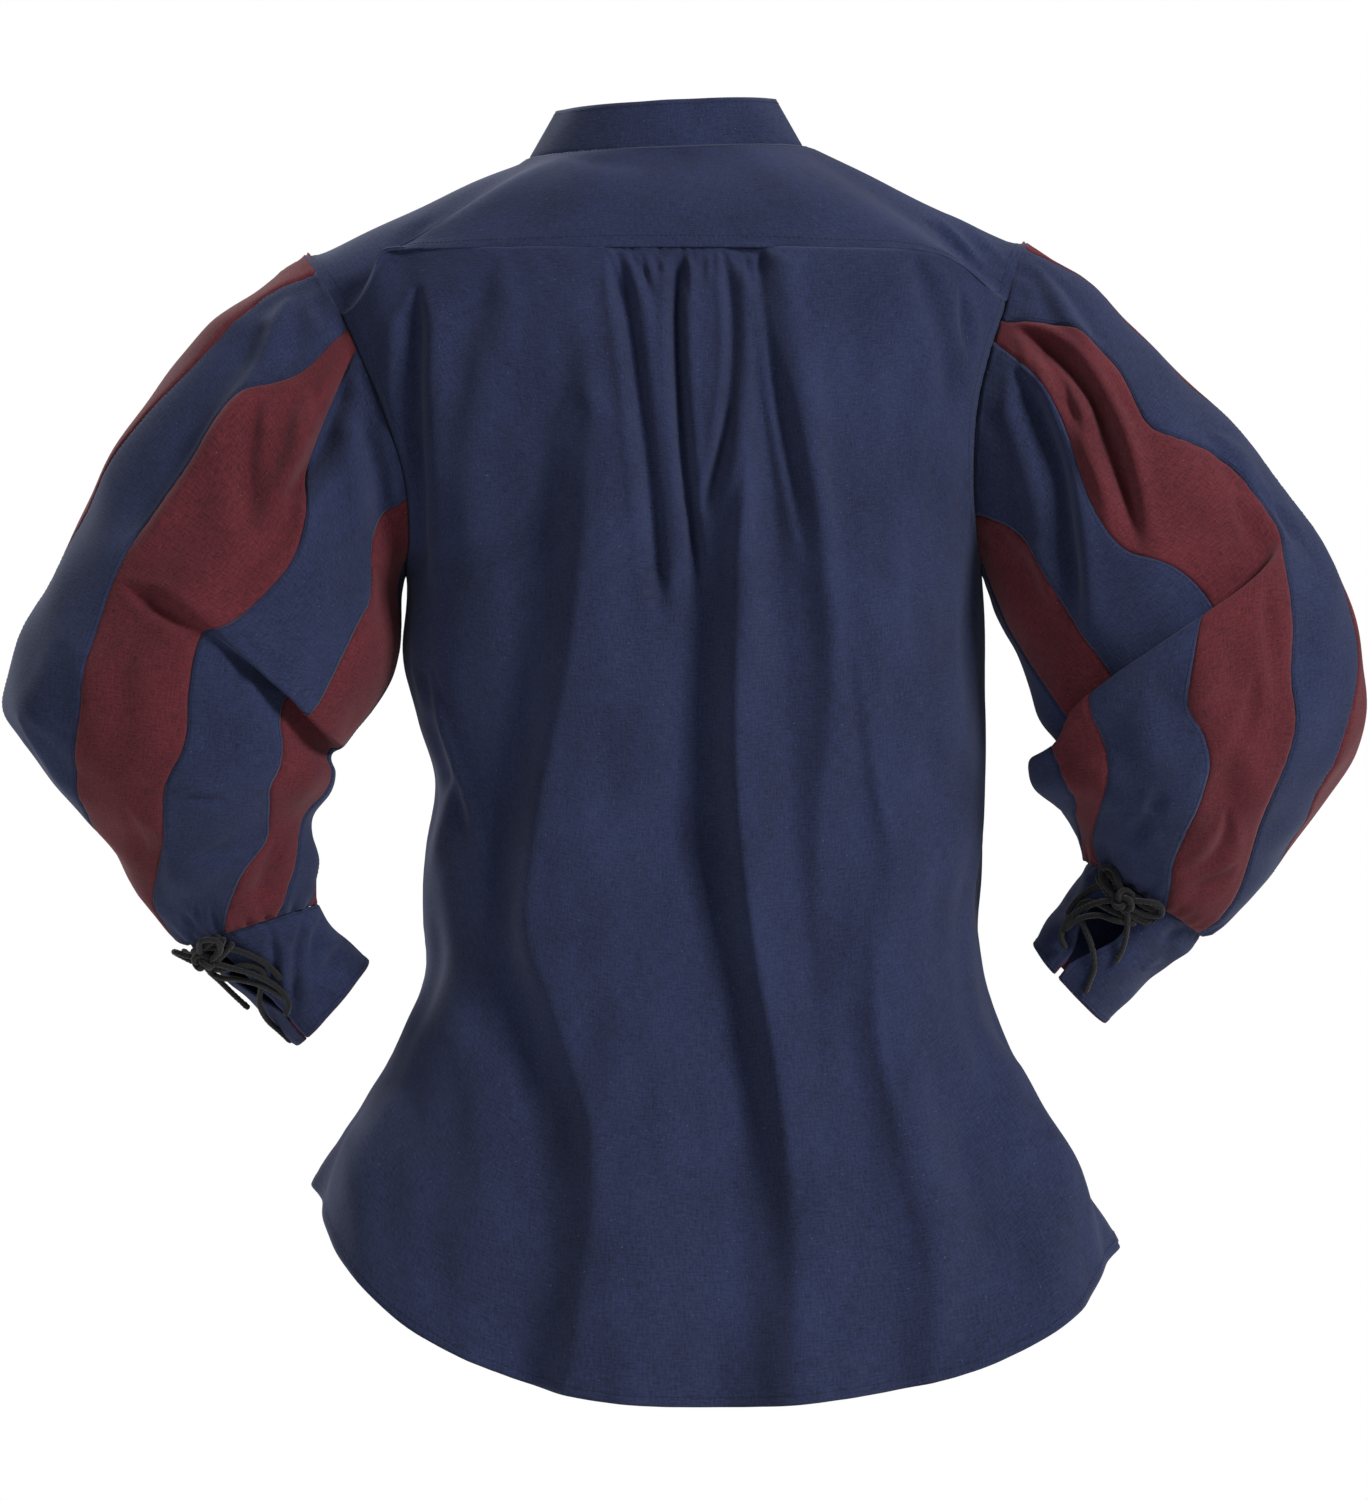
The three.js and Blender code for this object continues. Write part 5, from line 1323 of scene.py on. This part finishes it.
class ShirtSettings(PropertyGroup):
    navy: FloatVectorProperty(
        name="Navy cloth", description="Colour of the navy cotton", subtype="COLOR", size=3,
        min=0, max=1, default=(0.0155, 0.0215, 0.0570))
    burgundy: FloatVectorProperty(
        name="Burgundy cloth", description="Colour of the burgundy cotton", subtype="COLOR", size=3,
        min=0, max=1, default=(0.078, 0.0125, 0.0180))
    lace_colour: FloatVectorProperty(
        name="Laces", description="Colour of the cuff laces", subtype="COLOR", size=3,
        min=0, max=1, default=(0.006, 0.006, 0.007))
    cloth_thickness: FloatProperty(
        name="Cloth thickness", description="Thickness of one layer of cloth", unit="LENGTH",
        default=0.0011, min=0.0005, max=0.0016)
    cuff_thickness: FloatProperty(
        name="Cuff thickness", description="Thickness of the doubled cloth of cuffs and collar",
        unit="LENGTH", default=0.0018, min=0.001, max=0.002)
    fold_depth: FloatProperty(
        name="Fold depth", description="How deep the folds are, as a share of the usual depth",
        subtype="FACTOR", default=1.0, min=0.0, max=1.2)
    weave_strength: FloatProperty(
        name="Weave", description="How clearly the threads stand out", subtype="FACTOR",
        default=0.45, min=0.0, max=1.0)
    stitch_length: FloatProperty(
        name="Stitch length", description="Length of one stitch", unit="LENGTH",
        default=0.0024, min=0.0015, max=0.004)


# The flat cut of each piece: its width and length in metres, and its area in square metres
BODY_SHEETS = {
    "back_panel": ((0.74, 0.81), 0.410),
    "front_panel": ((0.72, 0.865), 0.400),
    "yoke": ((0.50, 0.24), 0.066),
    "collar": ((0.515, 0.040), 0.0178),
}
SLEEVE_SHEETS = {
    "left": table("width length area", [
        [0.115, 0.610, 0.0380], [0.115, 0.570, 0.0400], [0.115, 0.510, 0.0315], [0.100, 0.395, 0.0210],
        [0.110, 0.325, 0.0195], [0.110, 0.445, 0.0295], [0.155, 0.565, 0.0415], [0.105, 0.610, 0.0465],
    ]),
    "right": table("width length area", [
        [0.085, 0.625, 0.0350], [0.105, 0.575, 0.0395], [0.125, 0.530, 0.0325], [0.080, 0.365, 0.0170],
        [0.110, 0.300, 0.0205], [0.115, 0.400, 0.0295], [0.145, 0.575, 0.0450], [0.105, 0.625, 0.0510],
    ]),
}
CUFF_SHEETS = {"left": ((0.25, 0.085), 0.0180), "right": ((0.26, 0.090), 0.0190)}


def dress(node, kind, cut, held):
    """Hides the CAD part that a piece stands for. Its finish is not used, and the cut of its cloth is
    unpacked but not used.
    """
    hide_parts(node)
    flat, area = cut


def stitches(name, lines, settings, kind):
    """Topstitching along lines: each stitch and the gap after it take 1.28 of its length."""
    material = finish(kind.replace("cotton", "thread"), settings)
    length = settings.stitch_length / MM
    return stitch_mesh(name, lines, length, length * 1.28, STITCH_RADIUS, material)


# Operators

# Each lamp's place and the height that it aims at on the middle line, its side in metres, and watts
LIGHTS = (
    ("key light", (-2.8, 2.6, 1.7), -0.35, 1.1, 192),
    ("fill light", (2.8, 2.9, 0.4), -0.4, 1.8, 23),
    ("top light", (0.2, -1.0, 2.4), -0.3, 2.0, 44),
    ("front light", (2.7, -2.5, 1.1), -0.4, 1.8, 120),
)


class ShirtOperator:
    """What the shirt's operators share"""
    bl_options = {"REGISTER", "UNDO"}

    @property
    def settings(self):
        return bpy.context.scene.shirt_settings


class SHIRT_OT_stage(ShirtOperator, Operator):
    """Floor, light and the camera behind the shirt"""
    bl_idname = "shirt.stage"
    bl_label = "Stage"

    def execute(self, context):
        scene = context.scene
        scene.view_settings.view_transform = "Standard"
        camera = bpy.data.objects.new("camera", bpy.data.cameras.new("camera"))
        camera.location = (-0.012, 3.5, -0.4)
        camera.rotation_euler = (math.pi / 2, 0, math.pi)
        camera.data.lens, camera.data.sensor_width = 126, 36
        scene.collection.objects.link(camera)
        scene.camera = camera
        bpy.ops.mesh.primitive_plane_add(size=6, location=(0, 0, -1.5))
        floor = context.object
        floor.name = "floor"
        pale = Nodes("pale floor")
        pale.coat(Base_Color=(0.85, 0.85, 0.85, 1), Roughness=0.9)
        floor.data.materials.append(pale.material)
        for name, place, aim_z, size, power in LIGHTS:
            light = bpy.data.objects.new(name, bpy.data.lights.new(name, "AREA"))
            light.data.shape, light.data.size, light.data.energy = "SQUARE", size, power
            light.location = place
            way = np.array([0.0, 0.0, aim_z]) - np.array(place)
            flat = math.hypot(way[0], way[1])
            light.rotation_euler = (math.atan2(flat, -way[2]), 0, math.atan2(-way[0], way[1]))
            scene.collection.objects.link(light)
        world = bpy.data.worlds.new("studio")
        world.use_nodes = True
        tree = world.node_tree
        background = tree.nodes["Background"]
        path = tree.nodes.new("ShaderNodeLightPath")
        level = tree.nodes.new("ShaderNodeMapRange")
        level.inputs["To Min"].default_value = 0.12
        level.inputs["To Max"].default_value = 1.0
        tree.links.new(path.outputs["Is Camera Ray"], level.inputs["Value"])
        tree.links.new(level.outputs[0], background.inputs["Strength"])
        background.inputs["Color"].default_value = (1, 1, 1, 1)
        scene.world = world
        return {"FINISHED"}


class SHIRT_OT_laces(ShirtOperator, Operator):
    """The laces over the cuffs' openings, with their knots"""
    bl_idname = "shirt.laces"
    bl_label = "Laces"

    def execute(self, context):
        material = finish("black lace", self.settings)
        for side in SIDES:
            with_pieces = [self.knot(side, material)]
            for number, route in enumerate(LACE_LOOPS, 1):
                path = lace_path(side, route, 90)
                with_pieces.append(self.strand(f"{side}_lace_strand_{number}", path, 10, material)[0])
            path = lace_path(side, LACE_ROUTE, 420)
            lace, length = self.strand(f"{side}_lace", path, 16, material)
            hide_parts(f"{side}_cuff_lace")
            metres = in_metres(path)
            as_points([tuple(p) for p in metres[::6]] + [tuple(metres[-1])])
        return {"FINISHED"}

    def strand(self, name, path, around, material):
        """A round lace along a path: six faint ribs wind both ways round it, and its ends are drawn in."""
        run = np.linspace(0, 1, len(path))[:, None]
        turn = np.linspace(0, 2 * math.pi, around, endpoint=False)
        length = float(np.sum(np.linalg.norm(np.diff(path, axis=0), axis=1)))
        twist = run * length * 2.1
        ripple = 0.05 * (np.sin(3 * turn + twist) + np.sin(3 * turn - twist))
        ends = np.minimum(run[:, 0], 1 - run[:, 0]) * length
        radius = 0.5 * LACE_DIAMETER * np.sqrt(smooth(ends / 1.2 + 0.12)) * (1 + 0.12 * bell(ends - 4, 1.6))
        points = tube(path, radius, around, ripple=ripple)
        piece = tube_object(name, points, run * length, turn * 2.0, material)
        return piece, length

    def knot(self, side, material):
        """A trefoil of the lace: radius and height swing as it winds twice round while crossing itself."""
        turn = np.linspace(0, 2 * math.pi, 180)
        radius = KNOT["radius"]
        swing = radius * (2 + np.cos(3 * turn)) * 0.5
        x, y = swing * np.cos(2 * turn), swing * np.sin(2 * turn)
        z = radius * np.sin(3 * turn) * 0.5
        up = cuff_normal(side, KNOT["along"], CUFFS[side]["slit"])
        across = unit(np.cross(up, [0.2, 0.1, 0.97]))
        beside = np.cross(up, across)
        place = over_cuff(side, KNOT["across"], KNOT["along"], LACE_DIAMETER + KNOT["lift"])
        path = place + x[:, None] * across + y[:, None] * beside + z[:, None] * up
        points = tube(path, 0.5 * LACE_DIAMETER, 14, beside=up)
        along = np.linspace(0, 60, len(path))[:, None]
        piece = tube_object(f"{side}_knot", points, along, np.linspace(0, 12, 14), material)
        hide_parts(f"{side}_cuff_knot")
        return piece


class SHIRT_OT_body(ShirtOperator, Operator):
    """Back, front, yoke and collar with their topstitching"""
    bl_idname = "shirt.body"
    bl_label = "Body"

    def execute(self, context):
        settings = self.settings
        thin, thick = settings.cloth_thickness / MM, settings.cuff_thickness / MM
        back, back_normal = back_points(settings)
        front, front_normal, keep, slit = front_points(settings)
        yoke, yoke_normal = yoke_points(settings)
        collar, collar_normal = collar_points()
        lines = {
            "back": [row_line(back, back_normal, HEM_STITCH, from_end=True)],
            "front": [row_line(front, front_normal, HEM_STITCH, from_end=True)],
            "yoke": [row_line(yoke, yoke_normal, 7.0, from_end=True), row_line(yoke, yoke_normal, 3.0)],
            "collar": [row_line(collar, collar_normal, 3.0, from_end=True),
                       row_line(collar, collar_normal, 2.2)],
        }
        for distance in SEAM_STITCHES:
            for side, column, from_end in (("left", 0, False), ("right", -1, True)):
                for name, points, normals in (("back", back, back_normal), ("front", front, front_normal)):
                    low = int(np.argmax(points[:, column, 2] < ARMHOLE[side]["low"]))
                    lines[name].append(column_line(points, normals, distance, from_end, last_row=low))
                lines["yoke"].append(column_line(yoke, yoke_normal, distance, from_end, first_row=4))
        slit_end = int(np.argmax(front[:, slit, 2] < SLIT_LOW_Z))
        for part, from_end in ((slice(None, slit + 1), True), (slice(slit + 1, None), False)):
            half, half_normal = front[:, part], front_normal[:, part]
            lines["front"].append(column_line(half, half_normal, EDGE_STITCH, from_end, last_row=slit_end))
        inset_edges(back, first=SEAM_GAP, start=SEAM_GAP, end=SEAM_GAP)
        inset_edges(front, start=SEAM_GAP, end=SEAM_GAP)
        inset_edges(yoke, start=SEAM_GAP, end=SEAM_GAP)
        turn = np.linspace(-FRONT_CORNER, 180 + FRONT_CORNER, yoke.shape[1]) - 90
        behind = smooth((87 - BACK_CORNER - turn) / 34) * smooth((87 - BACK_CORNER + turn) / 34)
        yoke, yoke_normal = seam_allowance(yoke, yoke_normal, last=0.06 + YOKE_LAP * behind, deep=0.0)
        below_armhole = [ALLOWANCE * smooth((ARMHOLE[side]["low"] - back[:, column, 2]) / 10)
                         for side, column in (("left", 0), ("right", -1))]
        back, back_normal = seam_allowance(back, back_normal, start=below_armhole[0], end=below_armhole[1])
        back, back_normal = seam_allowance(back, back_normal, first=ALLOWANCE)
        beside_yoke = np.where(np.arange(len(front)) < SHOULDER_ROWS - 1, ALLOWANCE, 0.0)
        front, front_normal = seam_allowance(front, front_normal, start=beside_yoke, end=beside_yoke)
        keep = np.pad(keep, ((0, 0), (2, 2)), constant_values=True)
        made = []
        for node, held, points, normals, thickness, kept in (
                ("back_panel", "hung", back, back_normal, thin, None),
                ("front_panel", "hung", front, front_normal, thin, keep),
                ("yoke", "hung", yoke, yoke_normal, thin, None),
                ("collar", "folded", collar, collar_normal, thick, None)):
            name, kind = node.split("_")[0], "navy cotton"
            piece = cloth_piece(f"{name}_cloth", points, normals, thickness, finish(kind, settings), kept)
            made.append((piece, name, node, held))
        for piece, name, node, held in made:
            sewing = stitches(f"{name}_topstitch", lines[name], settings, kind)
            dress(node, kind, BODY_SHEETS[node], held)
        return {"FINISHED"}


class SHIRT_OT_sleeves(ShirtOperator, Operator):
    """The eight strips of each sleeve, with stitches along the navy strips' seams"""
    bl_idname = "shirt.sleeves"
    bl_label = "Sleeves"

    def execute(self, context):
        settings = self.settings
        thin = settings.cloth_thickness / MM
        for side in SIDES:
            for number in range(8):
                striped = number % 2 == 1
                kind = "burgundy cotton" if striped else "navy cotton"
                node = f"{side}_sleeve_{'burgundy' if striped else 'blue'}_{number // 2 + 1}"
                points, normal = sleeve_panel_points(side, number, settings)
                lines = [] if striped else [
                    column_line(points, normal, STRIP_STITCH, from_end, 2, len(points) - 3)
                    for from_end in (False, True)]
                inset_edges(points, first=SEAM_GAP, last=SEAM_GAP, start=SEAM_GAP, end=SEAM_GAP)
                if striped:
                    under = STRIP_ALLOWANCE["side"]
                    points, normal = seam_allowance(points, normal, start=under, end=under)
                points, normal = seam_allowance(points, normal, first=ALLOWANCE)
                points, normal = seam_allowance(
                    points, normal, last=STRIP_ALLOWANCE["cuff"], deep=STRIP_ALLOWANCE["deep"])
                piece = cloth_piece(f"{node}_cloth", points, normal, thin, finish(kind, settings))
                sewing = [stitches(f"{node}_topstitch", lines, settings, kind)] if lines else []
                cut = each_row(SLEEVE_SHEETS[side])[number]
                cut = (cut["width"], cut["length"]), cut["area"]
                dress(node, kind, cut, "gathered")
        return {"FINISHED"}


class SHIRT_OT_cuffs(ShirtOperator, Operator):
    """The cuffs with their thin dark red edge and topstitching"""
    bl_idname = "shirt.cuffs"
    bl_label = "Cuffs"

    def execute(self, context):
        settings = self.settings
        thick = settings.cuff_thickness / MM
        for side in SIDES:
            points, normal = cuff_points(side, settings)
            last_row, last_column = len(points) - 4, points.shape[1] - 4
            lines = [
                row_line(points, normal, EDGE_STITCH, True, 3, last_column),
                row_line(points, normal, 3.0),
                column_line(points, normal, EDGE_STITCH, False, 2, last_row),
                column_line(points, normal, EDGE_STITCH, True, 2, last_row),
            ]
            edge, edge_normal = (np.concatenate([grid[-9:-1, 0], grid[-1], grid[-9:-1, -1][::-1]])
                                 for grid in (points, normal))
            inset_edges(points, first=SEAM_GAP)
            kind = "navy cotton"
            piece = cloth_piece(f"{side}_cuff_cloth", points, normal, thick, finish(kind, settings))
            sewing = stitches(f"{side}_cuff_topstitch", lines, settings, kind)
            path = resample(edge - edge_normal * 0.5 * thick, 1.2)
            rim = tube_object(
                f"{side}_cuff_piping", tube(path, 0.75, 8), np.arange(len(path))[:, None] * 1.2,
                np.linspace(0, 5, 8), finish("burgundy cotton", settings))
            dress(f"{side}_cuff", kind, CUFF_SHEETS[side], "folded")
        return {"FINISHED"}


class SHIRT_PT_panel(Panel):
    """The shirt's sizes and colours, and a button for each group of pieces"""
    bl_label = "Landsknecht shirt"
    bl_idname = "SHIRT_PT_panel"
    bl_space_type = "VIEW_3D"
    bl_region_type = "UI"
    bl_category = "Shirt"

    def draw(self, context):
        settings = context.scene.shirt_settings
        for name in settings.bl_rna.properties.keys():
            if name not in ("rna_type", "name"):
                self.layout.prop(settings, name)
        for operator in OPERATORS:
            self.layout.operator(operator.bl_idname)


OPERATORS = (SHIRT_OT_stage, SHIRT_OT_laces, SHIRT_OT_body, SHIRT_OT_sleeves, SHIRT_OT_cuffs)
CLASSES = (ShirtSettings, *OPERATORS, SHIRT_PT_panel)


def register():
    for cls in CLASSES:
        bpy.utils.register_class(cls)
    bpy.types.Scene.shirt_settings = PointerProperty(type=ShirtSettings)


def unregister():
    del bpy.types.Scene.shirt_settings
    for cls in reversed(CLASSES):
        bpy.utils.unregister_class(cls)


def main():
    register()
    for operator in (bpy.ops.shirt.stage, bpy.ops.shirt.laces, bpy.ops.shirt.body, bpy.ops.shirt.sleeves,
                     bpy.ops.shirt.cuffs):
        operator()


if __name__ == "__main__":
    main()
